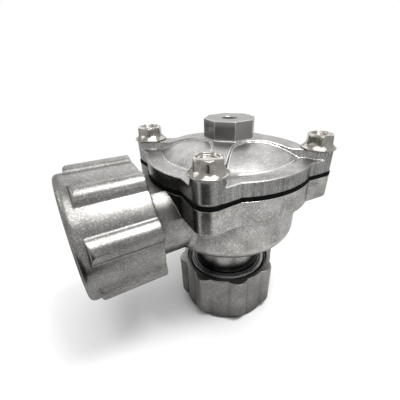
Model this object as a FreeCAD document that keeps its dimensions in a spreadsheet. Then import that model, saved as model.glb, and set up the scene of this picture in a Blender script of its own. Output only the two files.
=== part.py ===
import FreeCAD, Part
import math
import os
import Sketcher

# Right-angle diaphragm pulse valve with two compression nuts, in millimetres.
# The origin is the centre of the outlet pipe socket's mouth. +Z runs up the outlet axis to the
# pilot port, and the inlet leaves along -X. Each port is built in a frame of its own, with the
# socket mouth at zero and its +Z pointing into the body, so that both ports share their sizes.

V = FreeCAD.Vector
doc = FreeCAD.newDocument("pulse_valve")

# Driving dimensions: millimetres, degrees and plain counts
sizes = {
    # pipe sockets, stub threads and flow way
    "pipe_diameter": 33.7,
    "pipe_gap": 0.15,
    "socket_length": 9,
    "mouth_depth": 7,
    "lip_wall": 2.2,
    "flow_diameter": 29,
    "neck_diameter": 44,
    "thread_diameter": 52,
    "thread_pitch": 2,
    "thread_depth": 1.2,
    "collar_length": 16,
    # compression nuts
    "nut_wall": 3.32,
    "nut_length": 34.5,
    "nut_overlap": 1,
    "nut_end_wall": 4.5,
    "nut_hole_gap": 0.75,
    "thread_gap": 0.08,
    "tighten_room": 3,
    "mouth_step": 1.72,
    "mouth_counterbore": 2.5,
    "nut_end_round": 2,
    "rib_count": 8,
    "rib_height": 3,
    "rib_radius": 5.2,
    "rib_length": 29.4,
    "rib_foot_round": 2.4,
    "rib_end_round": 2,
    "inlet_nut_turn": 27.4,
    "outlet_nut_turn": 24.6,
    # washer and rubber seal inside each nut
    "washer_thickness": 2,
    "washer_gap": 0.3,
    "washer_hole_gap": 0.55,
    "chamber_step": 1.88,
    "seal_gap": 0.5,
    "seal_hole_gap": 0.25,
    "seal_nose_back": 2.5,
    "seal_rest_gap": 0.3,
    # body
    "inlet_reach": 64.8,
    "inlet_height": 55.8,
    "face_rise": 18.5,
    "body_rim_diameter": 93.6,
    "body_rim_thickness": 12,
    "bowl_diameter": 82,
    "bowl_wall": 4,
    "bowl_under_neck": 0.2,
    "bowl_floor": 4.5,
    "bowl_round": 9,
    "nozzle_wall": 3.5,
    "neck_root_round": 3,
    "bolt_circle": 96,
    "ear_spread": 17.5,
    "body_ear_radius": 8.1,
    # cover
    "cover_rim_diameter": 92.6,
    "cover_rim_height": 7.7,
    "cover_height": 12,
    "cover_ear_radius": 7.8,
    "ledge_edge": 0.7,
    "ledge_diameter": 76,
    "recess_dip": 0.9,
    "recess_edge": 1.2,
    "recess_rise": 7.3,
    "recess_sag": 0.6,
    "hub_margin": 0.23,
    "hub_rise": 5,
    "arm_width": 10,
    "arm_flat_step": 1,
    "hub_corner_round": 8,
    "arm_foot_round": 1.2,
    "pad_corner_round": 4,
    "boss_flats": 26,
    "boss_height": 9,
    "boss_chamfer": 0.4,
    "port_diameter": 8.6,
    "port_chamfer": 0.3,
    "pin_mark_diameter": 4.6,
    "pin_mark_height": 0.3,
    "pin_mark_angle": 13.5,
    # diaphragm and what it carries
    "gasket_thickness": 1.5,
    "gasket_rim_diameter": 93.4,
    "gasket_ear_radius": 8.2,
    "web_depth": 2.6,
    "web_slope": 2.5,
    "disc_diameter": 49,
    "disc_thickness": 1.5,
    "seat_land": 1.5,
    "seat_pad_thickness": 2.6,
    "seat_gap": 0.05,
    "lift": 6.5,
    "lift_room": 0.3,
    "eyelet_edge": 0.2,
    "bleed_diameter": 1.6,
    "eyelet_diameter": 3,
    "eyelet_flange": 4.2,
    "eyelet_lip": 0.5,
    "stud_diameter": 6,
    "stud_flats": 10,
    "stud_head": 4,
    "stud_nut": 5,
    "stud_tail": 1,
    "stud_washer_diameter": 12,
    "stud_washer_thickness": 1.6,
    "fit_gap": 0.05,
    # return spring
    "spring_wire": 1.2,
    "spring_diameter": 17.2,
    "spring_turns": 4.5,
    "spring_pocket_gap": 0.8,
    # cover bolts
    "bolt_diameter": 8,
    "bolt_length": 25,
    "bolt_hole_gap": 0.5,
    "bolt_flange_diameter": 18,
    "bolt_flange_edge": 1,
    "bolt_flange_height": 2.4,
    "bolt_flats": 13,
    "bolt_head": 8,
    "bolt_dish_diameter": 9.6,
    "bolt_dish_depth": 1.3,
    "bolt_thread_pitch": 1.25,
    "bolt_thread_depth": 0.5,
}

sheet = doc.addObject("Spreadsheet::Sheet", "Sizes")
for row, (name, value) in enumerate(sizes.items(), start=1):
    sheet.set("A%d" % row, name)
    sheet.set("B%d" % row, str(value))
    sheet.setAlias("B%d" % row, name)
doc.recompute()

# Worked-out sizes. Each is a formula of the driving dimensions above and of the lines before it.
formulas = {
    # port frame: socket mouth at zero, positive into the body
    "pipe_r": "Sizes.pipe_diameter / 2",
    "socket_r": "Derived.pipe_r + Sizes.pipe_gap",
    "flow_r": "Sizes.flow_diameter / 2",
    "neck_r": "Sizes.neck_diameter / 2",
    "thread_r": "Sizes.thread_diameter / 2",
    "thread_root_r": "Derived.thread_r - Sizes.thread_depth",
    "lip_r": "Derived.thread_root_r - Sizes.lip_wall",
    "collar_top": "Sizes.collar_length - Sizes.mouth_depth",
    "collar_end": "-Sizes.mouth_depth",
    "nut_bore_r": "Derived.thread_r + Sizes.thread_gap",
    "nut_root_r": "Derived.nut_bore_r + Sizes.thread_depth",
    "nut_r": "Derived.nut_root_r + Sizes.nut_wall",
    "nut_face": "Derived.collar_top + Sizes.nut_overlap",
    "nut_end": "Derived.nut_face - Sizes.nut_length",
    "nut_floor": "Derived.nut_end + Sizes.nut_end_wall",
    "nut_hole_r": "Derived.pipe_r + Sizes.nut_hole_gap",
    "nut_step": "Derived.collar_end - Sizes.tighten_room",
    "nut_mouth_r": "Derived.nut_bore_r + Sizes.mouth_step",
    "nut_mouth_z": "Derived.nut_face - Sizes.mouth_counterbore",
    "rib_top_r": "Derived.nut_r + Sizes.rib_height",
    "rib_centre_r": "Derived.rib_top_r - Sizes.rib_radius",
    "rib_end": "Derived.nut_face - Sizes.rib_length",
    "rib_end_top": "Derived.rib_end + Sizes.rib_end_round",
    "rib_end_r": "Derived.rib_top_r - Sizes.rib_end_round",
    "rib_clear_r": "Derived.rib_top_r + 2",
    "washer_top": "Derived.nut_floor + Sizes.washer_thickness",
    "seal_chamber_r": "Derived.nut_bore_r - Sizes.chamber_step",
    "seal_r": "Derived.seal_chamber_r - Sizes.seal_gap",
    "washer_r": "Derived.seal_chamber_r - Sizes.washer_gap",
    "washer_hole_r": "Derived.pipe_r + Sizes.washer_hole_gap",
    "seal_hole_r": "Derived.pipe_r + Sizes.seal_hole_gap",
    "mouth_slope": "(Derived.lip_r - Derived.socket_r) / Sizes.mouth_depth",
    "nose_gap": "Sizes.seal_rest_gap * sqrt(1 + Derived.mouth_slope * Derived.mouth_slope)",
    "nose_tip_z": "-Sizes.seal_nose_back",
    "nose_tip_r": "Derived.socket_r + Derived.mouth_slope * Sizes.seal_nose_back - Derived.nose_gap",
    "nose_base_z": "-(Derived.seal_r - Derived.socket_r + Derived.nose_gap) / Derived.mouth_slope",
    "socket_end": "Sizes.socket_length",
    "thread_z": "Derived.collar_end + Sizes.thread_pitch",
    "thread_low": "Derived.thread_z - Sizes.thread_pitch * 0.45",
    "thread_high": "Derived.thread_z + Sizes.thread_pitch * 0.45",
    "thread_clear_r": "Derived.thread_r + 0.2",
    "nut_thread_z": "Derived.nut_step + Sizes.thread_pitch",
    "nut_thread_low": "Derived.nut_thread_z - Sizes.thread_pitch * 0.45",
    "nut_thread_high": "Derived.nut_thread_z + Sizes.thread_pitch * 0.45",
    "nut_clear_r": "Derived.nut_bore_r - 0.2",
    "nut_end_r": "Derived.nut_r - Sizes.nut_end_round",
    "nut_end_top": "Derived.nut_end + Sizes.nut_end_round",
    "nut_end_round": "Sizes.nut_end_round",
    "rib_length": "Sizes.rib_length",
    "rib_r": "Sizes.rib_radius",
    "rib_foot_r": "Sizes.rib_foot_round",
    "rib_end_round": "Sizes.rib_end_round",
    "rib_foot_x": "((Derived.nut_r + Derived.rib_foot_r) * (Derived.nut_r + Derived.rib_foot_r)"
                  " - (Derived.rib_r + Derived.rib_foot_r) * (Derived.rib_r + Derived.rib_foot_r)"
                  " + Derived.rib_centre_r * Derived.rib_centre_r) / (2 * Derived.rib_centre_r)",
    "rib_foot_y": "sqrt((Derived.nut_r + Derived.rib_foot_r) * (Derived.nut_r + Derived.rib_foot_r)"
                  " - Derived.rib_foot_x * Derived.rib_foot_x)",
    "rib_flank_x": "Derived.rib_centre_r + (Derived.rib_foot_x - Derived.rib_centre_r) * Derived.rib_r"
                   " / (Derived.rib_r + Derived.rib_foot_r)",
    "rib_flank_y": "Derived.rib_foot_y * Derived.rib_r / (Derived.rib_r + Derived.rib_foot_r)",
    "rib_base_x": "Derived.rib_foot_x * Derived.nut_r / (Derived.nut_r + Derived.rib_foot_r)",
    "rib_base_y": "Derived.rib_foot_y * Derived.nut_r / (Derived.nut_r + Derived.rib_foot_r)",
    "rib_inner_x": "Derived.rib_centre_r - Derived.rib_r / 2",
    "rib_below": "Derived.rib_end - 1",
    "nut_thread_run": "Sizes.thread_pitch * 7",
    # body levels and radii
    "face_z": "Sizes.inlet_height + Sizes.face_rise",
    "above_face": "Derived.face_z + 1",
    "rim_under_z": "Derived.face_z - Sizes.body_rim_thickness",
    "bowl_r": "Sizes.bowl_diameter / 2",
    "bowl_z": "Sizes.inlet_height - Derived.neck_r - Sizes.bowl_under_neck",
    "floor_z": "Derived.bowl_z + Sizes.bowl_floor",
    "chamber_r": "Derived.bowl_r - Sizes.bowl_wall",
    "nozzle_r": "Derived.flow_r + Sizes.nozzle_wall",
    "disc_under_z": "Derived.face_z - Sizes.disc_thickness",
    "pad_under_z": "Derived.disc_under_z - Sizes.seat_pad_thickness",
    "seat_z": "Derived.pad_under_z - Sizes.seat_gap",
    "above_seat": "Derived.seat_z + 1",
    "inlet_mouth_x": "-Sizes.inlet_reach",
    "inlet_collar_x": "Derived.inlet_mouth_x + Derived.collar_top",
    "inlet_stop_x": "Derived.inlet_mouth_x + Sizes.socket_length",
    "inlet_end_x": "Derived.inlet_mouth_x + Derived.collar_end",
    "inlet_root_x": "-(Derived.chamber_r + Derived.nozzle_r) / 2",
    "bowl_round": "Sizes.bowl_round",
    "bowl_round_r": "Derived.bowl_r - Sizes.bowl_round",
    "bowl_round_z": "Derived.bowl_z + Sizes.bowl_round",
    "root_round": "Sizes.neck_root_round",
    "root_round_r": "Derived.neck_r + Sizes.neck_root_round",
    "root_round_z": "Derived.bowl_z - Sizes.neck_root_round",
    "chamber_round": "Sizes.bowl_round - Sizes.bowl_wall",
    "chamber_round_r": "Derived.chamber_r - Derived.chamber_round",
    "chamber_round_z": "Derived.floor_z + Derived.chamber_round",
    "inlet_axis_z": "Sizes.inlet_height",
    "rim_thickness": "Sizes.body_rim_thickness",
    "rim_depth": "Sizes.body_rim_thickness + 1",
    "thread_run": "Sizes.thread_pitch * 6",
    "neck_trim": "Derived.neck_r - Sizes.face_rise + 1",
    "bolt_r": "Sizes.bolt_circle / 2",
    "tapped_r": "Sizes.bolt_diameter / 2 + Sizes.fit_gap",
    "bolt_hole_r": "Sizes.bolt_diameter / 2 + Sizes.bolt_hole_gap",
    # cover levels and radii
    "cover_z": "Derived.face_z + Sizes.gasket_thickness",
    "ledge_z": "Derived.cover_z + Sizes.cover_rim_height",
    "seat_top_z": "Derived.cover_z + Sizes.cover_height",
    "hub_z": "Derived.seat_top_z + Sizes.hub_rise",
    "above_hub": "Derived.hub_z + 2",
    "boss_top_z": "Derived.hub_z + Sizes.boss_height",
    "hub_r": "Sizes.boss_flats / 2 / cos(22.5) + Sizes.hub_margin",
    "ledge_r": "Sizes.ledge_diameter / 2",
    "recess_r": "Derived.ledge_r - Sizes.recess_edge",
    "recess_z": "Derived.ledge_z - Sizes.recess_dip",
    "recess_top_z": "Derived.ledge_z + Sizes.recess_rise",
    "recess_run": "Derived.recess_r - Derived.hub_r",
    "recess_fall": "Derived.recess_top_z - Derived.recess_z",
    "recess_chord": "sqrt(Derived.recess_run * Derived.recess_run"
                    " + Derived.recess_fall * Derived.recess_fall)",
    "recess_curve_r": "(Derived.recess_chord * Derived.recess_chord / 4"
                      " + Sizes.recess_sag * Sizes.recess_sag) / (2 * Sizes.recess_sag)",
    "arm_half": "Sizes.arm_width / 2",
    "rim_height": "Sizes.cover_rim_height",
    "arm_flat_r": "Derived.ledge_r + Sizes.arm_flat_step",
    "spider_base_z": "Derived.ledge_z - Sizes.ledge_edge - 0.5",
    "mark_r": "Sizes.pin_mark_diameter / 2",
    "mark_ring_r": "(Derived.ledge_r + Sizes.cover_rim_diameter / 2) / 2",
    "mark_x": "Derived.mark_ring_r * cos(Sizes.pin_mark_angle)",
    "mark_y": "Derived.mark_ring_r * sin(Sizes.pin_mark_angle)",
    "mark_base_z": "Derived.ledge_z - 0.2",
    "mark_length": "Sizes.pin_mark_height + 0.2",
    "port_mouth_r": "Derived.port_r + Sizes.port_chamfer",
    "port_mouth_z": "Derived.boss_top_z - Sizes.port_chamfer",
    "spider_height": "Derived.hub_z - Derived.spider_base_z",
    "past_ears": "Derived.bolt_r + 3 * Sizes.cover_ear_radius",
    "boss_half": "Sizes.boss_flats / 2",
    "boss_side": "Derived.boss_half * tan(22.5)",
    "boss_base_z": "Derived.hub_z - 1",
    "boss_length": "Derived.boss_top_z - Derived.boss_base_z",
    "port_r": "Sizes.port_diameter / 2",
    "pocket_top_z": "Derived.hub_z",
    "clamp_r": "Derived.chamber_r",
    "disc_r": "Sizes.disc_diameter / 2",
    "ceiling_z": "Derived.cover_z + Sizes.disc_thickness + Sizes.eyelet_lip + Sizes.lift + Sizes.lift_room",
    "ceiling_r": "Derived.disc_r + Sizes.lift_room",
    "shoulder_z": "Derived.cover_z + Sizes.disc_thickness + 1.5",
    "spring_r": "Sizes.spring_diameter / 2",
    "wire_r": "Sizes.spring_wire / 2",
    "pocket_r": "Derived.spring_r + Derived.wire_r + Sizes.spring_pocket_gap",
    # diaphragm pack levels
    "disc_over_z": "Derived.cover_z + Sizes.disc_thickness",
    "pad_r": "Derived.nozzle_r + Sizes.seat_land",
    "stud_r": "Sizes.stud_diameter / 2",
    "stud_hole_r": "Derived.stud_r + Sizes.fit_gap",
    "web_inner_r": "Derived.disc_r + 0.5",
    "web_inner_foot": "Derived.web_inner_r + Sizes.web_slope",
    "web_outer_r": "Derived.clamp_r - 0.5",
    "web_outer_foot": "Derived.web_outer_r - Sizes.web_slope",
    "web_top_z": "Derived.cover_z - Sizes.web_depth",
    "web_under_z": "Derived.face_z - Sizes.web_depth",
    "washer_under_z": "Derived.pad_under_z - Sizes.stud_washer_thickness",
    "head_under_z": "Derived.washer_under_z - Sizes.stud_head",
    "stud_washer_r": "Sizes.stud_washer_diameter / 2",
    "nut_top_z": "Derived.disc_over_z + Sizes.stud_nut",
    "stud_end_z": "Derived.nut_top_z + Sizes.stud_tail",
    "stud_shank": "Derived.stud_end_z - Derived.washer_under_z",
    "stud_half": "Sizes.stud_flats / 2",
    "stud_side": "Derived.stud_half * tan(30)",
    "stud_corner": "2 * Derived.stud_side",
    "bleed_r": "Sizes.bleed_diameter / 2",
    "eyelet_r": "Sizes.eyelet_diameter / 2",
    "eyelet_hole_r": "Derived.eyelet_r + Sizes.fit_gap",
    "eyelet_flange_r": "Sizes.eyelet_flange / 2",
    "eyelet_top_z": "Derived.disc_over_z + Sizes.eyelet_lip",
    "eyelet_low_z": "Derived.disc_under_z - Sizes.eyelet_lip",
    "spring_low_z": "Derived.disc_over_z + 0.02",
    "spring_top_z": "Derived.pocket_top_z - 0.02",
    "spring_length": "Derived.spring_top_z - Derived.spring_low_z",
    "wire_start_z": "Derived.spring_low_z + Derived.wire_r",
    "spring_rise": "Derived.spring_length - Sizes.spring_wire",
    "spring_pitch": "Derived.spring_rise / Sizes.spring_turns",
    "gasket_thickness": "Sizes.gasket_thickness",
    "disc_thickness": "Sizes.disc_thickness",
    "stud_head": "Sizes.stud_head",
    "stud_nut_height": "Sizes.stud_nut",
    "bleed_x": "Derived.disc_r - Sizes.eyelet_flange / 2 - Sizes.eyelet_edge",
    "cover_depth": "Sizes.cover_height + 1",
    # cover bolt, with its seat at zero
    "bolt_shank_r": "Sizes.bolt_diameter / 2",
    "bolt_root_r": "Derived.bolt_shank_r - Sizes.bolt_thread_depth",
    "bolt_end": "-Sizes.bolt_length",
    "bolt_tip": "Derived.bolt_end + 1",
    "bolt_flange_r": "Sizes.bolt_flange_diameter / 2",
    "bolt_half": "Sizes.bolt_flats / 2",
    "bolt_side": "Derived.bolt_half * tan(30)",
    "bolt_corner": "2 * Derived.bolt_side",
    "bolt_collar_r": "Derived.bolt_corner - 0.1",
    "bolt_crown_z": "Sizes.bolt_head - 0.9",
    "bolt_crown_r": "Derived.bolt_half - 0.3",
    "bolt_clear_r": "Derived.bolt_corner + 1",
    "bolt_over_z": "Sizes.bolt_head + 1",
    "bolt_dish_r": "Sizes.bolt_dish_diameter / 2",
    "bolt_dish_floor_r": "Derived.bolt_dish_r - Sizes.bolt_dish_depth",
    "bolt_dish_z": "Sizes.bolt_head - Sizes.bolt_dish_depth",
    "bolt_thread_z": "Derived.bolt_tip + Sizes.bolt_thread_pitch",
    "bolt_thread_low": "Derived.bolt_thread_z - Sizes.bolt_thread_pitch * 0.45",
    "bolt_thread_high": "Derived.bolt_thread_z + Sizes.bolt_thread_pitch * 0.45",
    "bolt_thread_clear_r": "Derived.bolt_shank_r + 0.1",
    "bolt_edge_z": "Sizes.bolt_flange_edge",
    "bolt_slope_z": "Sizes.bolt_flange_height",
    "bolt_head_z": "Sizes.bolt_head",
    "bolt_hex_z": "Derived.bolt_edge_z",
    "bolt_hex_height": "Sizes.bolt_head - Derived.bolt_edge_z",
    "bolt_thread_run": "Sizes.bolt_thread_pitch * 13",
}

# The outline of rim and ears, shared by the body, the gasket and the cover. A straight wall runs
# from a crease on the round rim to the arc around the bolt, and touches that arc.
for name in ("body", "gasket", "cover"):
    rim = "Sizes.%s_rim_diameter / 2" % name
    ear = "Sizes.%s_ear_radius" % name
    reach = "Derived.%s_reach2" % name
    formulas.update({
        name + "_rim_r": rim,
        name + "_ear_r": ear,
        name + "_crease_x": "Derived.%s_rim_r * cos(Sizes.ear_spread)" % name,
        name + "_crease_y": "Derived.%s_rim_r * sin(Sizes.ear_spread)" % name,
        name + "_back": "Derived.%s_crease_x - Derived.bolt_r" % name,
        name + "_reach2": "Derived.{0}_back * Derived.{0}_back + Derived.{0}_crease_y"
                          " * Derived.{0}_crease_y".format(name),
        name + "_along": "%s * %s / %s" % (ear, ear, reach),
        name + "_across": "%s * sqrt(%s - %s * %s) / %s" % (ear, reach, ear, ear, reach),
        name + "_touch_x": "Derived.bolt_r + Derived.{0}_along * Derived.{0}_back"
                           " + Derived.{0}_across * Derived.{0}_crease_y".format(name),
        name + "_touch_y": "Derived.{0}_along * Derived.{0}_crease_y"
                           " - Derived.{0}_across * Derived.{0}_back".format(name),
    })

derived = doc.addObject("App::VarSet", "Derived")
for name, formula in formulas.items():
    derived.addProperty("App::PropertyFloat", name, "Derived", "")
for name, formula in formulas.items():
    derived.setExpression(name, formula)
doc.recompute()


def number(name):
    """Value of a worked-out size; a leading minus mirrors it, and 0 is zero."""
    if name == 0:
        return 0.0
    if name.startswith("-"):
        return -getattr(derived, name[1:])
    return getattr(derived, name)


def bound(name):
    """Formula text for a worked-out size."""
    return "-Derived." + name[1:] if name.startswith("-") else "Derived." + name


def new_body(label):
    body = doc.addObject("PartDesign::Body", label)
    body.Label = label
    return body


def origin_feature(body, role):
    return [item for item in body.Origin.OriginFeatures if item.Role == role][0]


def new_sketch(body, name, plane="XZ_Plane", level=None, turn=0.0):
    """Sketch on an origin plane. level lifts it along +Z, turn rotates it about +Z in degrees."""
    sketch = body.newObject("Sketcher::SketchObject", name)
    sketch.AttachmentSupport = [(origin_feature(body, plane), "")]
    sketch.MapMode = "FlatFace"
    flat = plane == "XY_Plane"
    axis = V(0, 0, 1) if flat else V(0, 1, 0)
    base = V(0, 0, 0)
    if level is not None:
        base = V(0, 0, number(level)) if flat else V(0, number(level), 0)
    sketch.AttachmentOffset = FreeCAD.Placement(base, FreeCAD.Rotation(axis, turn))
    if level is not None:
        sketch.setExpression("AttachmentOffset.Base." + ("z" if flat else "y"), bound(level))
    return sketch


def pin_point(sketch, geo, pos, x, y):
    """Hold one end of a sketch element at two worked-out coordinates."""
    for kind, axis, name in (("DistanceX", -2, x), ("DistanceY", -1, y)):
        if name == 0:
            sketch.addConstraint(Sketcher.Constraint("PointOnObject", geo, pos, axis))
        else:
            index = sketch.addConstraint(Sketcher.Constraint(kind, -1, 1, geo, pos, number(name)))
            sketch.setExpression("Constraints[%d]" % index, bound(name))


def draw_outline(sketch, points, arcs=()):
    """Closed outline through points (x, y). arcs holds (index, radius, side): the run that starts
    at that point bends with that radius, side +1 to the left of its way and -1 to the right."""
    spots = [V(number(x), number(y), 0) for x, y in points]
    bends = {index: (radius, side) for index, radius, side in arcs}
    for index, start in enumerate(spots):
        end = spots[(index + 1) % len(spots)]
        if index in bends:
            radius, side = bends[index]
            chord = end - start
            across = V(-chord.y, chord.x, 0).normalize()
            size = number(radius)
            sag = size - math.sqrt(size ** 2 - (chord.Length / 2) ** 2)
            middle = (start + end) * 0.5 + across * sag * side
            sketch.addGeometry(Part.Arc(start, middle, end), False)
        else:
            sketch.addGeometry(Part.LineSegment(start, end), False)
    count = len(spots)
    firsts = {}
    for index in range(count):
        # an arc is stored counter-clockwise, so its first end may be the run's last
        flipped = index in bends and bends[index][1] > 0
        firsts[index] = 2 if flipped else 1
    for index, (x, y) in enumerate(points):
        previous = (index - 1) % count
        sketch.addConstraint(Sketcher.Constraint(
            "Coincident", previous, 3 - firsts[previous], index, firsts[index]))
        pin_point(sketch, index, firsts[index], x, y)
    for index, (radius, side) in bends.items():
        row = sketch.addConstraint(Sketcher.Constraint("Radius", index, number(radius)))
        sketch.setExpression("Constraints[%d]" % row, bound(radius))


def draw_circle(sketch, radius, x=0, y=0):
    centre = V(number(x), number(y), 0)
    geo = sketch.addGeometry(Part.Circle(centre, V(0, 0, 1), number(radius)), False)
    pin_point(sketch, geo, 3, x, y)
    row = sketch.addConstraint(Sketcher.Constraint("Radius", geo, number(radius)))
    sketch.setExpression("Constraints[%d]" % row, bound(radius))


def turned(body, name, points, arcs=(), cut=False, level=None):
    """Turn an outline about the body's Z axis or, with level, about the X line at that height."""
    sketch = new_sketch(body, name + "_profile", level=level)
    draw_outline(sketch, points, arcs)
    kind = "PartDesign::Groove" if cut else "PartDesign::Revolution"
    feature = body.newObject(kind, name)
    feature.Profile = sketch
    feature.ReferenceAxis = (sketch, ["V_Axis" if level is None else "H_Axis"])
    feature.Angle = 360
    body.Tip = feature
    return feature


def raised(body, name, sketch, length, middle=False, cut=False, down=False):
    """Pad a sketch along its normal, or cut a pocket with it."""
    feature = body.newObject("PartDesign::Pocket" if cut else "PartDesign::Pad", name)
    feature.Profile = sketch
    feature.Length = number(length)
    feature.setExpression("Length", bound(length))
    if middle:
        feature.Midplane = True
    feature.Reversed = down
    body.Tip = feature
    return feature


def around(body, name, features, count):
    """Repeat features evenly about the body's Z axis."""
    pattern = body.newObject("PartDesign::PolarPattern", name)
    pattern.Originals = features
    pattern.Axis = (origin_feature(body, "Z_Axis"), [""])
    pattern.Angle = 360
    pattern.Occurrences = int(count)
    body.Tip = pattern
    return pattern


def in_line(body, name, features, axis, count, run):
    """Repeat features evenly along an axis of the body, over a run between first and last."""
    pattern = body.newObject("PartDesign::LinearPattern", name)
    pattern.Originals = features
    pattern.Direction = (origin_feature(body, axis), [""])
    pattern.Length = number(run)
    pattern.setExpression("Length", bound(run))
    pattern.Occurrences = int(count)
    body.Tip = pattern
    return pattern


def bleed_hole(body, level, length):
    """Hole for the bleed eyelet, cut down from a level."""
    sketch = new_sketch(body, body.Label + "_bleed_outline", "XY_Plane", level)
    draw_circle(sketch, "eyelet_hole_r", "bleed_x", 0)
    return raised(body, body.Label + "_bleed_hole", sketch, length, cut=True)


def rounded(body, name, test, radius, kind="PartDesign::Fillet"):
    """Round or chamfer every edge of the body's last feature for which test(edge) is true."""
    doc.recompute()
    base = body.Tip
    names = ["Edge%d" % (index + 1) for index, edge in enumerate(base.Shape.Edges) if test(edge)]
    if not names:
        raise RuntimeError("no edge found for " + name)
    feature = body.newObject(kind, name)
    feature.Base = (base, names)
    key = "Radius" if kind.endswith("Fillet") else "Size"
    setattr(feature, key, sizes[radius])
    feature.setExpression(key, "Sizes." + radius)
    body.Tip = feature
    return feature


def near(first, second, slack=0.02):
    return abs(first - second) < slack


def at_level(edge, z):
    """True for an edge that lies in the plane of that height."""
    box = edge.BoundBox
    return near(box.ZMin, z) and near(box.ZMax, z)


def middle_radius(edge):
    """Distance from the Z axis to the middle of an edge."""
    middle = edge.valueAt((edge.FirstParameter + edge.LastParameter) / 2)
    return math.hypot(middle.x, middle.y)


def is_arm_foot(edge):
    """True for an edge along which the walls of arms and hub meet the domed floor."""
    ends = [edge.Vertexes[0].Point, edge.Vertexes[-1].Point]
    on_seam = all(abs(point.y) < 0.01 for point in ends)
    low = max(point.z for point in ends) < number("recess_top_z") + 0.01
    reach = middle_radius(edge)
    return low and not on_seam and number("hub_r") - 0.1 < reach < number("recess_r") - 0.1


def is_neck_root(edge):
    """True for a curved edge where the inlet neck runs into the bowl below the rim."""
    first, last = edge.FirstParameter, edge.LastParameter
    spots = [edge.valueAt(first + (last - first) * part) for part in (0.0, 0.5, 1.0)]
    on_neck = all(near(math.hypot(spot.y, spot.z - number("inlet_axis_z")), number("neck_r"))
                  for spot in spots)
    inside = number("inlet_collar_x") + 1 < spots[1].x < number("inlet_root_x") - 1
    return on_neck and inside and spots[1].z < number("rim_under_z") - 1


def is_upright(edge, low_r, high_r):
    """True for a straight edge along Z whose distance from the axis lies between two radii."""
    if edge.Curve.TypeId != "Part::GeomLine" or edge.Length < 0.5:
        return False
    first, last = edge.Vertexes[0].Point, edge.Vertexes[-1].Point
    reach = math.hypot(first.x, first.y)
    return near(first.x, last.x) and near(first.y, last.y) and low_r < reach < high_r


def hexagon(body, name, half, side, corner, level, height):
    """Six-sided prism with two flats facing along Y."""
    sketch = new_sketch(body, name + "_outline", "XY_Plane", level)
    draw_outline(sketch, [(corner, 0), (side, half), ("-" + side, half),
                          ("-" + corner, 0), ("-" + side, "-" + half), (side, "-" + half)])
    return raised(body, name, sketch, height)


def bolt_ear(body, name, level, length):
    """First of the four ears of a rim: straight walls that touch the arc around the bolt."""
    sketch = new_sketch(body, name + "_ear_outline", "XY_Plane", level, turn=45)
    draw_outline(sketch,
                 [(name + "_crease_x", name + "_crease_y"),
                  (name + "_crease_x", "-" + name + "_crease_y"),
                  (name + "_touch_x", "-" + name + "_touch_y"),
                  (name + "_touch_x", name + "_touch_y")],
                 [(2, name + "_ear_r", -1)])
    return raised(body, name + "_ear", sketch, length)


def bolt_hole(body, name, radius, level, length):
    """First of the four holes on the bolt circle, cut down from a level."""
    sketch = new_sketch(body, name + "_outline", "XY_Plane", level, turn=45)
    draw_circle(sketch, radius, "bolt_r", 0)
    return raised(body, name, sketch, length, cut=True)


# Valve body: round bowl with the outlet neck below it
valve_body = new_body("valve_body")
turned(valve_body, "bowl_and_outlet_neck",
       [(0, "collar_top"), ("neck_r", "collar_top"), ("neck_r", "root_round_z"),
        ("root_round_r", "bowl_z"), ("bowl_round_r", "bowl_z"), ("bowl_r", "bowl_round_z"),
        ("bowl_r", "rim_under_z"), ("body_rim_r", "rim_under_z"), ("body_rim_r", "face_z"), (0, "face_z")],
       [(2, "root_round", 1), (4, "bowl_round", -1)])
body_ear = bolt_ear(valve_body, "body", "rim_under_z", "rim_thickness")
around(valve_body, "body_ears", [body_ear], 4)

# Inlet neck, turned about the inlet axis, then planed off level with the top face
turned(valve_body, "inlet_neck",
       [("inlet_collar_x", 0), ("inlet_root_x", 0), ("inlet_root_x", "neck_r"),
        ("inlet_collar_x", "neck_r")], level="inlet_axis_z")
neck_top = new_sketch(valve_body, "neck_top_outline", "XY_Plane", "face_z")
draw_outline(neck_top, [("inlet_collar_x", "-neck_r"), ("inlet_root_x", "-neck_r"),
                        ("inlet_root_x", "neck_r"), ("inlet_collar_x", "neck_r")])
raised(valve_body, "neck_top", neck_top, "neck_trim", cut=True, down=True)
rounded(valve_body, "neck_roots", is_neck_root, "neck_root_round")

# Flow ways: annular chamber around the nozzle, nozzle bore to the outlet, bore from the inlet
turned(valve_body, "chamber",
       [(0, "seat_z"), ("nozzle_r", "seat_z"), ("nozzle_r", "floor_z"), ("chamber_round_r", "floor_z"),
        ("chamber_r", "chamber_round_z"), ("chamber_r", "above_face"), (0, "above_face")],
       [(3, "chamber_round", -1)], cut=True)
turned(valve_body, "outlet_way",
       [(0, "collar_end"), ("lip_r", "collar_end"), ("socket_r", 0), ("socket_r", "socket_end"),
        ("flow_r", "socket_end"), ("flow_r", "above_seat"), (0, "above_seat")], cut=True)
turned(valve_body, "inlet_way",
       [("inlet_end_x", 0), ("inlet_root_x", 0), ("inlet_root_x", "flow_r"), ("inlet_stop_x", "flow_r"),
        ("inlet_stop_x", "socket_r"), ("inlet_mouth_x", "socket_r"), ("inlet_end_x", "lip_r")],
       cut=True, level="inlet_axis_z")

# Tapped holes for the cover bolts
tapped_hole = bolt_hole(valve_body, "tapped_hole", "tapped_r", "face_z", "rim_depth")
around(valve_body, "tapped_holes", [tapped_hole], 4)

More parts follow.
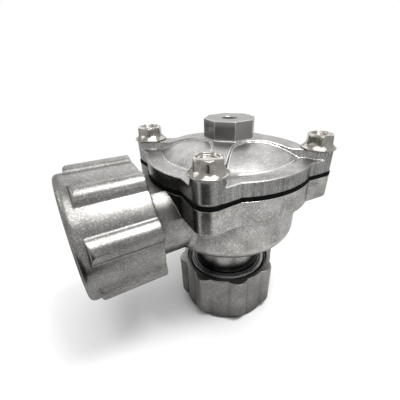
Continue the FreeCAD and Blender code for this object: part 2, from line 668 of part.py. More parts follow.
# Cover: rim with ledge and domed floor
cover = new_body("cover")
turned(cover, "rim_and_dome",
       [(0, "cover_z"), ("cover_rim_r", "cover_z"), ("cover_rim_r", "ledge_z"), ("ledge_r", "ledge_z"),
        ("recess_r", "recess_z"), ("hub_r", "recess_top_z"), (0, "recess_top_z")],
       [(4, "recess_curve_r", -1)])
cover_ear = bolt_ear(cover, "cover", "cover_z", "rim_height")
around(cover, "cover_ears", [cover_ear], 4)
rounded(cover, "ledge_bevel",
        lambda edge: at_level(edge, number("ledge_z")) and middle_radius(edge) > number("ledge_r") + 1,
        "ledge_edge", "PartDesign::Chamfer")

# Four arms run from the hub to the bolt pads, and their tops fall from the hub to the pads
arm_outline = new_sketch(cover, "arm_outline", "XY_Plane", "spider_base_z", turn=45)
draw_outline(arm_outline, [(0, "-arm_half"), ("bolt_r", "-arm_half"), ("bolt_r", "arm_half"),
                           (0, "arm_half")])
arm = raised(cover, "arm", arm_outline, "spider_height")
pad_outline = new_sketch(cover, "pad_outline", "XY_Plane", "spider_base_z", turn=45)
draw_circle(pad_outline, "cover_ear_r", "bolt_r", 0)
pad = raised(cover, "pad", pad_outline, "spider_height")
around(cover, "arms_and_pads", [arm, pad], 4)
hub_outline = new_sketch(cover, "hub_outline", "XY_Plane", "spider_base_z")
draw_circle(hub_outline, "hub_r")
raised(cover, "hub", hub_outline, "spider_height")
rounded(cover, "hub_corners", lambda edge: is_upright(edge, number("hub_r") - 0.5, number("hub_r") + 0.5),
        "hub_corner_round")
pad_reach = math.sqrt(number("cover_ear_r") ** 2 - number("arm_half") ** 2)
pad_corner_r = math.hypot(number("bolt_r") - pad_reach, number("arm_half"))
rounded(cover, "pad_corners", lambda edge: is_upright(edge, pad_corner_r - 0.5, pad_corner_r + 0.5),
        "pad_corner_round")
turned(cover, "arm_tops",
       [("hub_r", "hub_z"), ("arm_flat_r", "seat_top_z"), ("past_ears", "seat_top_z"),
        ("past_ears", "above_hub"), ("hub_r", "above_hub")], cut=True)
rounded(cover, "arm_feet", is_arm_foot, "arm_foot_round")

# Octagonal boss with the pilot port
boss_outline = new_sketch(cover, "boss_outline", "XY_Plane", "boss_base_z")
draw_outline(boss_outline,
             [("boss_half", "boss_side"), ("boss_side", "boss_half"), ("-boss_side", "boss_half"),
              ("-boss_half", "boss_side"), ("-boss_half", "-boss_side"), ("-boss_side", "-boss_half"),
              ("boss_side", "-boss_half"), ("boss_half", "-boss_side")])
raised(cover, "boss", boss_outline, "boss_length")
rounded(cover, "boss_edge", lambda edge: at_level(edge, number("boss_top_z")), "boss_chamfer",
        "PartDesign::Chamfer")
turned(cover, "pilot_port",
       [(0, "pocket_top_z"), ("port_r", "pocket_top_z"), ("port_r", "port_mouth_z"),
        ("port_mouth_r", "boss_top_z"), (0, "boss_top_z")], cut=True)

# Room above the diaphragm with the spring pocket
turned(cover, "diaphragm_room",
       [(0, "cover_z"), ("clamp_r", "cover_z"), ("clamp_r", "shoulder_z"), ("ceiling_r", "ceiling_z"),
        ("pocket_r", "ceiling_z"), ("pocket_r", "pocket_top_z"), (0, "pocket_top_z")], cut=True)
cover_hole = bolt_hole(cover, "cover_hole", "bolt_hole_r", "seat_top_z", "cover_depth")
around(cover, "cover_holes", [cover_hole], 4)

# Raised ejector pin marks on the ledge, a pair beside each pad
mark_outline = new_sketch(cover, "pin_mark_outline", "XY_Plane", "mark_base_z", turn=45)
draw_circle(mark_outline, "mark_r", "mark_x", "mark_y")
draw_circle(mark_outline, "mark_r", "mark_x", "-mark_y")
pin_marks = raised(cover, "pin_mark", mark_outline, "mark_length")
around(cover, "pin_marks", [pin_marks], 4)

# Diaphragm: clamped rim with ears, folded web and flat centre
diaphragm = new_body("diaphragm")
turned(diaphragm, "membrane",
       [("stud_hole_r", "face_z"), ("web_inner_r", "face_z"), ("web_inner_foot", "web_under_z"),
        ("web_outer_foot", "web_under_z"), ("web_outer_r", "face_z"), ("gasket_rim_r", "face_z"),
        ("gasket_rim_r", "cover_z"), ("web_outer_r", "cover_z"), ("web_outer_foot", "web_top_z"),
        ("web_inner_foot", "web_top_z"), ("web_inner_r", "cover_z"), ("stud_hole_r", "cover_z")])
gasket_ear = bolt_ear(diaphragm, "gasket", "face_z", "gasket_thickness")
around(diaphragm, "gasket_ears", [gasket_ear], 4)
gasket_hole = bolt_hole(diaphragm, "gasket_hole", "bolt_hole_r", "cover_z", "gasket_thickness")
around(diaphragm, "gasket_holes", [gasket_hole], 4)
bleed_hole(diaphragm, "cover_z", "gasket_thickness")

# Rigid discs on both faces of the diaphragm, and the rubber pad that closes on the nozzle
for label, low, high in (("upper_disc", "cover_z", "disc_over_z"), ("lower_disc", "disc_under_z", "face_z")):
    disc = new_body(label)
    turned(disc, label + "_ring",
           [("stud_hole_r", low), ("disc_r", low), ("disc_r", high), ("stud_hole_r", high)])
    bleed_hole(disc, high, "disc_thickness")
seat_pad = new_body("seat_pad")
turned(seat_pad, "seat_pad_ring",
       [("stud_hole_r", "pad_under_z"), ("pad_r", "pad_under_z"), ("pad_r", "disc_under_z"),
        ("stud_hole_r", "disc_under_z")])

# Stud, washer and nut that clamp the pack together
stud = new_body("centre_stud")
hexagon(stud, "stud_head", "stud_half", "stud_side", "stud_corner", "head_under_z", "stud_head")
shank_outline = new_sketch(stud, "stud_shank_outline", "XY_Plane", "washer_under_z")
draw_circle(shank_outline, "stud_r")
raised(stud, "stud_shank", shank_outline, "stud_shank")
stud_washer = new_body("stud_washer")
turned(stud_washer, "stud_washer_ring",
       [("stud_hole_r", "washer_under_z"), ("stud_washer_r", "washer_under_z"),
        ("stud_washer_r", "pad_under_z"), ("stud_hole_r", "pad_under_z")])
stud_nut = new_body("stud_nut")
hexagon(stud_nut, "stud_nut_block", "stud_half", "stud_side", "stud_corner", "disc_over_z", "stud_nut_height")
nut_hole = new_sketch(stud_nut, "stud_nut_hole_outline", "XY_Plane", "nut_top_z")
draw_circle(nut_hole, "stud_hole_r")
raised(stud_nut, "stud_nut_hole", nut_hole, "stud_nut_height", cut=True)

# Eyelet through discs and diaphragm: the bleed that balances the pressure
eyelet = new_body("bleed_eyelet")
turned(eyelet, "eyelet_tube",
       [("bleed_r", "eyelet_low_z"), ("eyelet_flange_r", "eyelet_low_z"), ("eyelet_flange_r", "disc_under_z"),
        ("eyelet_r", "disc_under_z"), ("eyelet_r", "disc_over_z"), ("eyelet_flange_r", "disc_over_z"),
        ("eyelet_flange_r", "eyelet_top_z"), ("bleed_r", "eyelet_top_z")])
eyelet.setExpression("Placement.Base.x", "Derived.bleed_x")

# Return spring between the upper disc and the top of its pocket
spring = new_body("return_spring")
wire = new_sketch(spring, "wire_outline", level="wire_start_z")
draw_circle(wire, "wire_r", "spring_r", 0)
coil = spring.newObject("PartDesign::AdditiveHelix", "coil")
coil.Profile = wire
coil.ReferenceAxis = (wire, ["V_Axis"])
coil.Mode = 0
coil.Pitch = number("spring_pitch")
coil.setExpression("Pitch", bound("spring_pitch"))
coil.Height = number("spring_rise")
coil.setExpression("Height", bound("spring_rise"))
spring.Tip = coil

# Cover bolts, one after the other round the bolt circle. The number is the turn of the hexagon.
for place, (where, turn) in enumerate((("back", 20.0), ("left", 1.1), ("front", 3.7), ("right", 45.6))):
    bolt = new_body("cover_bolt_" + where)
    turned(bolt, where + "_shank_and_flange",
           [(0, "bolt_end"), ("bolt_root_r", "bolt_end"), ("bolt_shank_r", "bolt_tip"),
            ("bolt_shank_r", 0), ("bolt_flange_r", 0), ("bolt_flange_r", "bolt_edge_z"),
            ("bolt_collar_r", "bolt_slope_z"), (0, "bolt_slope_z")])
    hexagon(bolt, where + "_hexagon", "bolt_half", "bolt_side", "bolt_corner", "bolt_hex_z",
            "bolt_hex_height")
    turned(bolt, where + "_crown",
           [("bolt_crown_r", "bolt_head_z"), ("bolt_clear_r", "bolt_crown_z"),
            ("bolt_clear_r", "bolt_over_z"), ("bolt_crown_r", "bolt_over_z")], cut=True)
    turned(bolt, where + "_dish",
           [(0, "bolt_dish_z"), ("bolt_dish_floor_r", "bolt_dish_z"), ("bolt_dish_r", "bolt_head_z"),
            (0, "bolt_head_z")], cut=True)
    bolt_groove = turned(bolt, where + "_groove",
                         [("bolt_root_r", "bolt_thread_z"), ("bolt_thread_clear_r", "bolt_thread_low"),
                          ("bolt_thread_clear_r", "bolt_thread_high")], cut=True)
    in_line(bolt, where + "_thread", [bolt_groove], "Z_Axis", 14, "bolt_thread_run")
    angle = 45.0 + 90.0 * place
    bolt.Placement = FreeCAD.Placement(V(0, 0, 0), FreeCAD.Rotation(V(0, 0, 1), turn))
    bolt.setExpression("Placement.Base.x", "Derived.bolt_r * cos(%s)" % angle)
    bolt.setExpression("Placement.Base.y", "Derived.bolt_r * sin(%s)" % angle)
    bolt.setExpression("Placement.Base.z", "Derived.seat_top_z")

# Threaded collar, compression nut, pressure washer and rubber seal of each port
for port in ("inlet", "outlet"):
    collar = new_body(port + "_collar")
    turned(collar, port + "_collar_barrel",
           [(0, "collar_end"), ("thread_r", "collar_end"), ("thread_r", "collar_top"), (0, "collar_top")])
    turned(collar, port + "_socket",
           [(0, "collar_end"), ("lip_r", "collar_end"), ("socket_r", 0), ("socket_r", "socket_end"),
            ("flow_r", "socket_end"), ("flow_r", "above_seat"), (0, "above_seat")], cut=True)
    groove = turned(collar, port + "_groove",
                    [("thread_root_r", "thread_z"), ("thread_clear_r", "thread_low"),
                     ("thread_clear_r", "thread_high")], cut=True)
    in_line(collar, port + "_thread", [groove], "Z_Axis", 7, "thread_run")
    nut = new_body(port + "_nut")
    turned(nut, port + "_barrel",
           [(0, "nut_end"), ("nut_end_r", "nut_end"), ("nut_r", "nut_end_top"), ("nut_r", "nut_face"),
            (0, "nut_face")], [(1, "nut_end_round", -1)])
    rib_outline = new_sketch(nut, port + "_rib_outline", "XY_Plane", "rib_end")
    draw_outline(rib_outline,
                 [("rib_inner_x", "-rib_base_y"), ("rib_base_x", "-rib_base_y"),
                  ("rib_flank_x", "-rib_flank_y"), ("rib_flank_x", "rib_flank_y"),
                  ("rib_base_x", "rib_base_y"), ("rib_inner_x", "rib_base_y")],
                 [(1, "rib_foot_r", 1), (2, "rib_r", -1), (3, "rib_foot_r", 1)])
    rib = raised(nut, port + "_rib", rib_outline, "rib_length")
    around(nut, port + "_ribs", [rib], sizes["rib_count"])
    turned(nut, port + "_rib_ends",
           [("rib_end_r", "rib_below"), ("rib_clear_r", "rib_below"), ("rib_clear_r", "rib_end_top"),
            ("rib_top_r", "rib_end_top"), ("rib_end_r", "rib_end")], [(3, "rib_end_round", 1)], cut=True)
    turned(nut, port + "_bore",
           [(0, "nut_end"), ("nut_hole_r", "nut_end"), ("nut_hole_r", "nut_floor"),
            ("seal_chamber_r", "nut_floor"), ("seal_chamber_r", "nut_step"), ("nut_bore_r", "nut_step"),
            ("nut_bore_r", "nut_mouth_z"), ("nut_mouth_r", "nut_mouth_z"), ("nut_mouth_r", "nut_face"),
            (0, "nut_face")], cut=True)
    nut_groove = turned(nut, port + "_nut_groove",
                        [("nut_root_r", "nut_thread_z"), ("nut_clear_r", "nut_thread_high"),
                         ("nut_clear_r", "nut_thread_low")], cut=True)
    in_line(nut, port + "_nut_thread", [nut_groove], "Z_Axis", 8, "nut_thread_run")
    washer = new_body(port + "_washer")
    turned(washer, port + "_washer_ring",
           [("washer_hole_r", "nut_floor"), ("washer_r", "nut_floor"), ("washer_r", "washer_top"),
            ("washer_hole_r", "washer_top")])
    seal = new_body(port + "_grommet")
    turned(seal, port + "_grommet_ring",
           [("seal_hole_r", "washer_top"), ("seal_r", "washer_top"), ("seal_r", "nose_base_z"),
            ("nose_tip_r", "nose_tip_z"), ("seal_hole_r", "nose_tip_z")])
    spin = FreeCAD.Rotation(V(0, 0, 1), sizes[port + "_nut_turn"])
    for piece in (collar, nut, washer, seal):
        if port == "inlet":
            piece.Placement = FreeCAD.Placement(V(0, 0, 0), FreeCAD.Rotation(V(0, 1, 0), 90) * spin)
            piece.setExpression("Placement.Base.x", "Derived.inlet_mouth_x")
            piece.setExpression("Placement.Base.z", "Sizes.inlet_height")
        else:
            piece.Placement = FreeCAD.Placement(V(0, 0, 0), spin)

# Every piece must be one sound solid before it is written
doc.recompute()
os.makedirs("parts", exist_ok=True)
for item in doc.Objects:
    if "Invalid" in item.State or "Error" in item.State:
        raise RuntimeError("%s did not build: %s" % (item.Name, item.State))
for body in [item for item in doc.Objects if item.TypeId == "PartDesign::Body"]:
    shape = body.Shape
    if shape.isNull() or not shape.isValid() or len(shape.Solids) != 1:
        raise RuntimeError("%s is not one valid solid" % body.Label)
    shape.exportStep("parts/%s.step" % body.Label)
    print("%-22s %10.1f mm3 %4d faces" % (body.Label, shape.Volume, len(shape.Faces)))
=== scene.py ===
# %% [markdown]
# Pulse valve, dressed for its portrait.
# The solids come in as a fixed frame, in metres, with the origin at the mouth of the outlet socket and +Z up
# the outlet axis. Everything below only adds looks: finishes, finer surfaces, a floor, light and a camera.

# %% Load the frame and keep its box
import math

import bmesh
import bpy
import numpy as np
from mathutils import Matrix, Vector


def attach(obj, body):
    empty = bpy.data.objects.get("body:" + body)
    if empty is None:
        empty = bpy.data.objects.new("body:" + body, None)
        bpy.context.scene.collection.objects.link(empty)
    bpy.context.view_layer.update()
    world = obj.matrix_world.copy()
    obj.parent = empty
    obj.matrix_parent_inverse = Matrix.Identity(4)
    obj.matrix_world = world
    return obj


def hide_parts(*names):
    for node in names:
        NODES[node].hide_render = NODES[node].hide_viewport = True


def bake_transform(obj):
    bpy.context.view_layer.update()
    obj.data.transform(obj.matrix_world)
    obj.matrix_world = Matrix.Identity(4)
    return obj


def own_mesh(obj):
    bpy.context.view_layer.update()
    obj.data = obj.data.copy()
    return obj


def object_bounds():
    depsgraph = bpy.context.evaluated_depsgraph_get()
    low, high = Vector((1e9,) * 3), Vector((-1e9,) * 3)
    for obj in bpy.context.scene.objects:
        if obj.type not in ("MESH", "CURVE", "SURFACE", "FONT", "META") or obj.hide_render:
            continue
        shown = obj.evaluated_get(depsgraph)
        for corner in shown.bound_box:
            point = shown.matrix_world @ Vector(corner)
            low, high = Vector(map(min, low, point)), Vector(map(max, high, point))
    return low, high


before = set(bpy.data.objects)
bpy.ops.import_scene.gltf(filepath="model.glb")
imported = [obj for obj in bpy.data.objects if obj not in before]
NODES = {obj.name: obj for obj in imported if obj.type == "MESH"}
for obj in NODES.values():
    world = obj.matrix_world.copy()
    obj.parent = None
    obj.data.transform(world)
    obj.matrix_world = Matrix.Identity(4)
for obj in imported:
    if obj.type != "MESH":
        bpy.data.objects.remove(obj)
cad_box = [list(corner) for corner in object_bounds()]
MM = 0.001


def in_mm(box):
    """Corners of a box in metres as rounded millimetres, for printing."""
    return [[round(v / MM, 1) for v in corner] for corner in box]


print("frame loaded:", len(NODES), "nodes, box in mm", in_mm(cad_box))

# %% [markdown]
# A colour is given as an sRGB hex value, but shaders work in linear light, so one function converts
# it. A second one adds a shader node with its settings, and gives each input a value or a link, whichever it
# is handed. A third starts every material alike, with the piece's own coordinates for its patterns.

# %% Colour and node helpers


def linear(hex_colour):
    """sRGB hex text to linear RGBA: c/12.92 below 0.04045, else ((c + 0.055)/1.055)^2.4."""
    rgb = np.array([int(hex_colour[i:i + 2], 16) / 255 for i in (1, 3, 5)])
    return (*np.where(rgb <= 0.04045, rgb / 12.92, ((rgb + 0.055) / 1.055) ** 2.4), 1.0)


def add(tree, kind, inputs=None, **settings):
    """Adds one shader node; inputs maps a socket's name or number to a value or to a socket that feeds it."""
    node = tree.nodes.new("ShaderNode" + kind)
    for key, value in settings.items():
        setattr(node, key, value)
    for key, value in (inputs or {}).items():
        if isinstance(value, bpy.types.NodeSocket):
            tree.links.new(value, node.inputs[key])
        else:
            node.inputs[key].default_value = value
    return node


def start_material(name, metallic, roughness):
    """Node material with a Principled shader wired to its output: material, tree, shader, coordinates."""
    material = bpy.data.materials.new(name)
    material.use_nodes = True
    tree = material.node_tree
    tree.nodes.clear()
    shader = add(tree, "BsdfPrincipled", {"Metallic": metallic, "Roughness": roughness})
    add(tree, "OutputMaterial", {"Surface": shader.outputs[0]})
    return material, tree, shader, add(tree, "TexCoord").outputs["Object"]


print("mid grey #7f7f7f is", round(float(linear("#7f7f7f")[0]), 3), "in linear light")

# %% [markdown]
# Most of the valve is die-cast aluminium. The die leaves a smooth skin, and tumbling with stones peens it: a
# speckle of tiny facets, lighter rubbed edges and faint stains. Painted light lies over that colour: painted
# shade in corners, near other parts and on faces that point down, a painted highlight along edges, concave
# ones too, and single facets painted light or dark as glints. One flat grey would look like plastic foil, so
# the facets are also real bumps that break up the highlights, and the edge colour comes from comparing the
# surface's normal with a rounded one. The real facets are finer than the picture can show, so they are drawn
# 0.4 mm across, about as fine as one of its pixels.

# %% Skin of a casting, step by step
# A Mix node has a pair of inputs for each type of data: 2 and 3 for numbers, 6 and 7 for colours


def peened_skin_and_glints(tree, where, upright, wall, level, speckle, clouds, streaks):
    """Colour and grain of the skin. Three patterns add up round 0.5: facets, stains, and on upright walls
    alone the marks drawn by the die. The sum picks a colour between the dark and the light one of the wall or
    of the level skin. On top lie painted glints: single cells painted near-white as highlights, and as many
    painted dark as shade."""
    # 0.4 mm facets, 11 mm stains, and streaks 0.7 mm wide and 30 mm long
    grain = add(tree, "TexNoise",
                {"Vector": where, "Scale": 2500.0, "Detail": 2.0, "Roughness": 0.6}).outputs[0]
    stain = add(tree, "TexNoise",
                {"Vector": where, "Scale": 90.0, "Detail": 4.0, "Roughness": 0.65}).outputs[0]
    drawn = add(tree, "Mapping", {"Vector": where, "Scale": (1400.0, 1400.0, 33.0)}).outputs[0]
    streak = add(tree, "TexNoise",
                 {"Vector": drawn, "Scale": 1.0, "Detail": 2.0, "Roughness": 0.6}).outputs[0]
    streak = add(tree, "Mix", {"Factor": upright, 2: 0.5, 3: streak}).outputs[0]
    tone = add(tree, "Math", {0: grain, 1: 1.4 * speckle, 2: 0.5 - (1.4 * speckle + clouds + streaks) / 2},
               operation="MULTIPLY_ADD").outputs[0]
    tone = add(tree, "Math", {0: stain, 1: clouds, 2: tone}, operation="MULTIPLY_ADD").outputs[0]
    tone = add(tree, "Math", {0: streak, 1: streaks, 2: tone}, operation="MULTIPLY_ADD").outputs[0]
    # Painted light: where the level pair is lighter than the wall pair, faces that point up are painted
    # lighter, as lit from above
    dark, light = (add(tree, "Mix", {"Factor": upright, 6: linear(level[k]), 7: linear(wall[k])},
                       data_type="RGBA").outputs[2] for k in (0, 1))
    colour = add(tree, "Mix", {"Factor": tone, 6: dark, 7: light}, data_type="RGBA").outputs[2]
    # Painted glints: one random cell in several is painted near-white as a highlight, and as many are painted
    # dark as shade
    cells = add(tree, "TexVoronoi", {"Vector": where, "Scale": 2500.0}).outputs["Color"]
    facing = add(tree, "SeparateXYZ", {0: cells})
    painted_glint = add(tree, "MapRange",
                {"Value": facing.outputs[0], "From Min": 0.75, "To Max": 0.45 * speckle}).outputs[0]
    painted_dark_facet = add(tree, "MapRange",
              {"Value": facing.outputs[1], "From Min": 0.75, "To Max": 0.4 * speckle}).outputs[0]
    colour = add(tree, "Mix", {"Factor": painted_glint, 6: colour, 7: linear("#efefed")}, data_type="RGBA").outputs[2]
    colour = add(tree, "Mix", {"Factor": painted_dark_facet, 6: colour, 7: linear("#2b2927")}, data_type="RGBA").outputs[2]
    return colour, grain


def with_painted_shade(tree, colour, lift, corner, under):
    """Colour with painted shade: darker and browner in corners and near other parts, and near-black on faces
    that point down.
    """
    # Painted shade: ambient occlusion, other parts included, darkens the colour towards #1f1c19
    occlusion = add(tree, "AmbientOcclusion", {"Distance": corner}, samples=4).outputs["AO"]
    open_share = add(tree, "MapRange", {"Value": occlusion, "From Min": 0.35, "From Max": 0.9}).outputs[0]
    colour = add(tree, "Mix", {"Factor": open_share, 6: linear("#1f1c19"), 7: colour},
                 data_type="RGBA").outputs[2]
    # Painted shade: faces that point down are darkened towards #12100e by the share under
    below = add(tree, "MapRange",
                {"Value": lift, "From Min": -0.3, "From Max": -0.85, "To Max": under}).outputs[0]
    return add(tree, "Mix", {"Factor": below, 6: colour, 7: linear("#12100e")}, data_type="RGBA").outputs[2]


def wear_and_sheen_edges(tree, flat, reach, edge):
    """Normal rounded over the edges, and the share of edge colour, wear with a painted highlight on convex
    and concave edges alike, that grows as it leaves the flat normal.
    """
    rounded = add(tree, "Bevel", {"Radius": reach}, samples=4).outputs[0]
    same = add(tree, "VectorMath", {0: rounded, 1: flat}, operation="DOT_PRODUCT").outputs["Value"]
    wear_and_sheen = add(tree, "MapRange",
               {"Value": same, "From Min": 0.995, "From Max": 0.88, "To Max": edge}).outputs[0]
    return rounded, wear_and_sheen


print("a facet at scale 2500 is", 1000 / 2500, "mm across")

# %% Die-cast aluminium


def cast_metal(name, wall, level, rubbed_and_sheen, speckle=1.0, clouds=0.9, streaks=0.0, rough=0.3, corner=0.01,
               edge=1.0, reach=0.0006, under=0.0):
    """Tumbled die-cast metal. wall and level are the dark and the light colour of upright and of level skin,
    and the third colour is that of edges, partly rubbed lighter and partly a painted highlight, on concave
    edges too. speckle, clouds and streaks are the strength of the peened facets and their painted glints, of
    the stains and of the marks drawn by the die. corner is how far out the painted shade of corners and
    nearby parts reaches, and reach how wide the edge colour spreads, both in metres. edge is the share of
    that edge colour, and under the share of painted shade on the faces that point down."""
    material, tree, shader, where = start_material(name, 1.0, rough)
    flat = add(tree, "NewGeometry").outputs["Normal"]
    lift = add(tree, "VectorMath", {0: flat, 1: (0, 0, 1)}, operation="DOT_PRODUCT").outputs["Value"]
    flatness = add(tree, "Math", {0: lift}, operation="ABSOLUTE").outputs[0]
    upright = add(tree, "MapRange", {"Value": flatness, "From Min": 0.7, "From Max": 0.2}).outputs[0]
    colour, grain = peened_skin_and_glints(tree, where, upright, wall, level, speckle, clouds, streaks)
    # Painted shade in corners, near other parts and on faces that point down
    colour = with_painted_shade(tree, colour, lift, corner, under)
    rounded, wear_and_sheen = wear_and_sheen_edges(tree, flat, reach, edge)
    # Edge colour: wear on convex edges, and a painted highlight on convex and concave edges alike
    colour = add(tree, "Mix", {"Factor": wear_and_sheen, 6: colour, 7: linear(rubbed_and_sheen)}, data_type="RGBA").outputs[2]
    tree.links.new(colour, shader.inputs["Base Color"])
    # The skin is duller at grazing angles than clean metal
    shader.inputs["Specular Tint"].default_value = (0.72, 0.72, 0.72, 1.0)
    # Upright walls slid along the die and are smoother, and so are light grains and the edges
    smooth = add(tree, "Mix", {"Factor": upright, 2: rough + 0.15, 3: rough}).outputs[0]
    smooth = add(tree, "Math", {0: grain, 1: -0.25 * speckle, 2: smooth}, operation="MULTIPLY_ADD").outputs[0]
    smooth = add(tree, "Math", {0: smooth, 1: 0.125 * speckle}, operation="ADD").outputs[0]
    smooth = add(tree, "Math", {0: wear_and_sheen, 1: -0.1, 2: smooth}, operation="MULTIPLY_ADD").outputs[0]
    tree.links.new(smooth, shader.inputs["Roughness"])
    # The facets themselves are bumps, up to 0.04 mm deep at full speckle
    facets = add(tree, "TexNoise",
                 {"Vector": where, "Scale": 3200.0, "Detail": 1.0, "Roughness": 0.5}).outputs[0]
    bump = add(tree, "Bump", {"Height": facets, "Normal": rounded, "Distance": 0.00004 * speckle})
    tree.links.new(bump.outputs[0], shader.inputs["Normal"])
    return material


# The body's bright skin is strongly peened and stained, and painted nearly black, as shade, where it faces
# down and in the corners between parts
cast_body = cast_metal("die_cast_aluminium_tumbled", ("#6b6865", "#bbbab7"), ("#6b6865", "#bbbab7"),
                       "#d4d4d2", speckle=0.85, clouds=1.8, rough=0.23, corner=0.030, edge=0.5, under=0.9)
# The cover is calmer: its level skin is painted lighter than its walls, as light from above, and the walls
# show the die's upright streaks
# Its near-white edge colour is mostly a painted highlight along the shoulders and feet of the arms
cast_cover = cast_metal("die_cast_aluminium_drawn", ("#5a5857", "#989896"), ("#666463", "#a6a5a3"),
                        "#fbfbf9", speckle=0.5, clouds=1.5, streaks=1.6, rough=0.27, corner=0.0006, edge=0.9,
                        reach=0.0008)
# The nuts are the darkest castings, and their edge colour, wear and painted highlight, is only a little
# lighter
cast_nut = cast_metal("die_cast_aluminium_coarse", ("#474542", "#8c8b89"), ("#474542", "#8c8b89"),
                      "#aeaeac", speckle=0.45, clouds=1.1, rough=0.22, corner=0.020, edge=0.8)
# A cutter takes the facets away: turned threads and the milled boss are plain, even and sharp edged.
# Their level faces are painted lighter than their upright ones, as light from above
machined_aluminium = cast_metal("turned_aluminium", ("#6a6a6a", "#8f8f8f"), ("#7a7a7a", "#a2a2a2"), "#b0b0b0",
                                speckle=0.15, rough=0.28, corner=0.004)
# The boss's near-white edge colour is a painted highlight along its edges
milled_aluminium = cast_metal("milled_aluminium", ("#5f5e5d", "#8e8d8b"), ("#6b6a69", "#989796"), "#f6f6f4",
                              speckle=0.1, clouds=0.6, rough=0.26, corner=0.001)
print("five finishes of cast aluminium")

# %% [markdown]
# The small parts are rolled, turned or moulded, so their finishes differ in smoothness more than in pattern.
# The cover bolts are nickel plated over struck steel: warm, glossy, with a dull film in patches. Zinc plate
# is bluer and duller, turned stainless steel is a plain grey, and pressed brass is yellow. Moulded rubber is
# so dark and matt that between two castings it reads as a black line.

# %% Plated, turned and moulded finishes


def smooth_metal(name, dark, light, rough, patch, depth):
    """Plated or turned metal: a film in patches of the given size in metres changes its colour and gloss."""
    material, tree, shader, where = start_material(name, 1.0, rough)
    film = add(tree, "TexNoise",
               {"Vector": where, "Scale": 1 / patch, "Detail": 3.0, "Roughness": 0.6}).outputs[0]
    share = add(tree, "MapRange", {"Value": film, "From Min": 0.3, "From Max": 0.7}).outputs[0]
    colour = add(tree, "Mix", {"Factor": share, 6: linear(dark), 7: linear(light)},
                 data_type="RGBA").outputs[2]
    tree.links.new(colour, shader.inputs["Base Color"])
    gloss = add(tree, "MapRange", {"Value": film, "From Min": 0.3, "From Max": 0.7, "To Min": rough + 0.08,
                                   "To Max": rough - 0.05}).outputs[0]
    tree.links.new(gloss, shader.inputs["Roughness"])
    dents = add(tree, "TexNoise", {"Vector": where, "Scale": 900.0, "Detail": 2.0}).outputs[0]
    bump = add(tree, "Bump", {"Height": dents, "Distance": depth})
    tree.links.new(bump.outputs[0], shader.inputs["Normal"])
    return material


def moulded_rubber(name, colour, dusty):
    """Moulded black rubber: matt, with a grey bloom in patches 4 mm across and a fine moulded grain."""
    material, tree, shader, where = start_material(name, 0.0, 0.75)
    shader.inputs["Specular IOR Level"].default_value = 0.04
    bloom = add(tree, "TexNoise",
                {"Vector": where, "Scale": 250.0, "Detail": 4.0, "Roughness": 0.65}).outputs[0]
    share = add(tree, "MapRange", {"Value": bloom, "From Min": 0.45, "From Max": 0.8}).outputs[0]
    mixed = add(tree, "Mix", {"Factor": share, 6: linear(colour), 7: linear(dusty)},
                data_type="RGBA").outputs[2]
    tree.links.new(mixed, shader.inputs["Base Color"])
    pores = add(tree, "TexNoise", {"Vector": where, "Scale": 2500.0, "Detail": 2.0}).outputs[0]
    bump = add(tree, "Bump", {"Height": pores, "Distance": 0.00003})
    tree.links.new(bump.outputs[0], shader.inputs["Normal"])
    return material


nickel = smooth_metal("nickel_plated_struck_steel", "#76736d", "#9b9892", 0.17, 0.004, 0.00003)
zinc = smooth_metal("zinc_plated_pressed_steel", "#7c7f84", "#a9adb2", 0.28, 0.006, 0.00002)
stainless = smooth_metal("turned_stainless_steel", "#8a8a88", "#b8b8b5", 0.22, 0.003, 0.00001)
brass = smooth_metal("pressed_brass", "#8a6a33", "#c39a55", 0.25, 0.003, 0.00002)
rubber = moulded_rubber("moulded_black_rubber", "#030404", "#121314")
print("five finishes of small parts")

# %% [markdown]
# The body and the small parts inside need no finer shape than the solids have, so they keep their meshes and
# only get a finish. The solids that aren't named here are replaced by the pieces further down.

# %% Finishes on the carried-over solids
finish_of = {"valve_body": cast_body, "bleed_eyelet": brass, "centre_stud": stainless,
             "stud_washer": stainless, "stud_nut": stainless, "upper_disc": zinc, "lower_disc": zinc,
             "inlet_washer": zinc, "outlet_washer": zinc, "seat_pad": rubber, "inlet_grommet": rubber,
             "outlet_grommet": rubber}
for name, finish in finish_of.items():
    NODES[name].data.materials.clear()
    NODES[name].data.materials.append(finish)
print(len(finish_of), "solids finished, to be replaced:", sorted(set(NODES) - set(finish_of)))

# %% [markdown]
# Every new shape below is one closed skin: a profile of rows goes round the piece, and each row is a ring of
# points. Blender could do this with Spin or Screw and then sculpted ribs, but a grid that numpy works out
# whole keeps every radius a formula, so ribs, threads and hexagons are only changes of the radius with the
# angle and the height. All lengths in the formulas are millimetres.

# %% Grid of points to a mesh


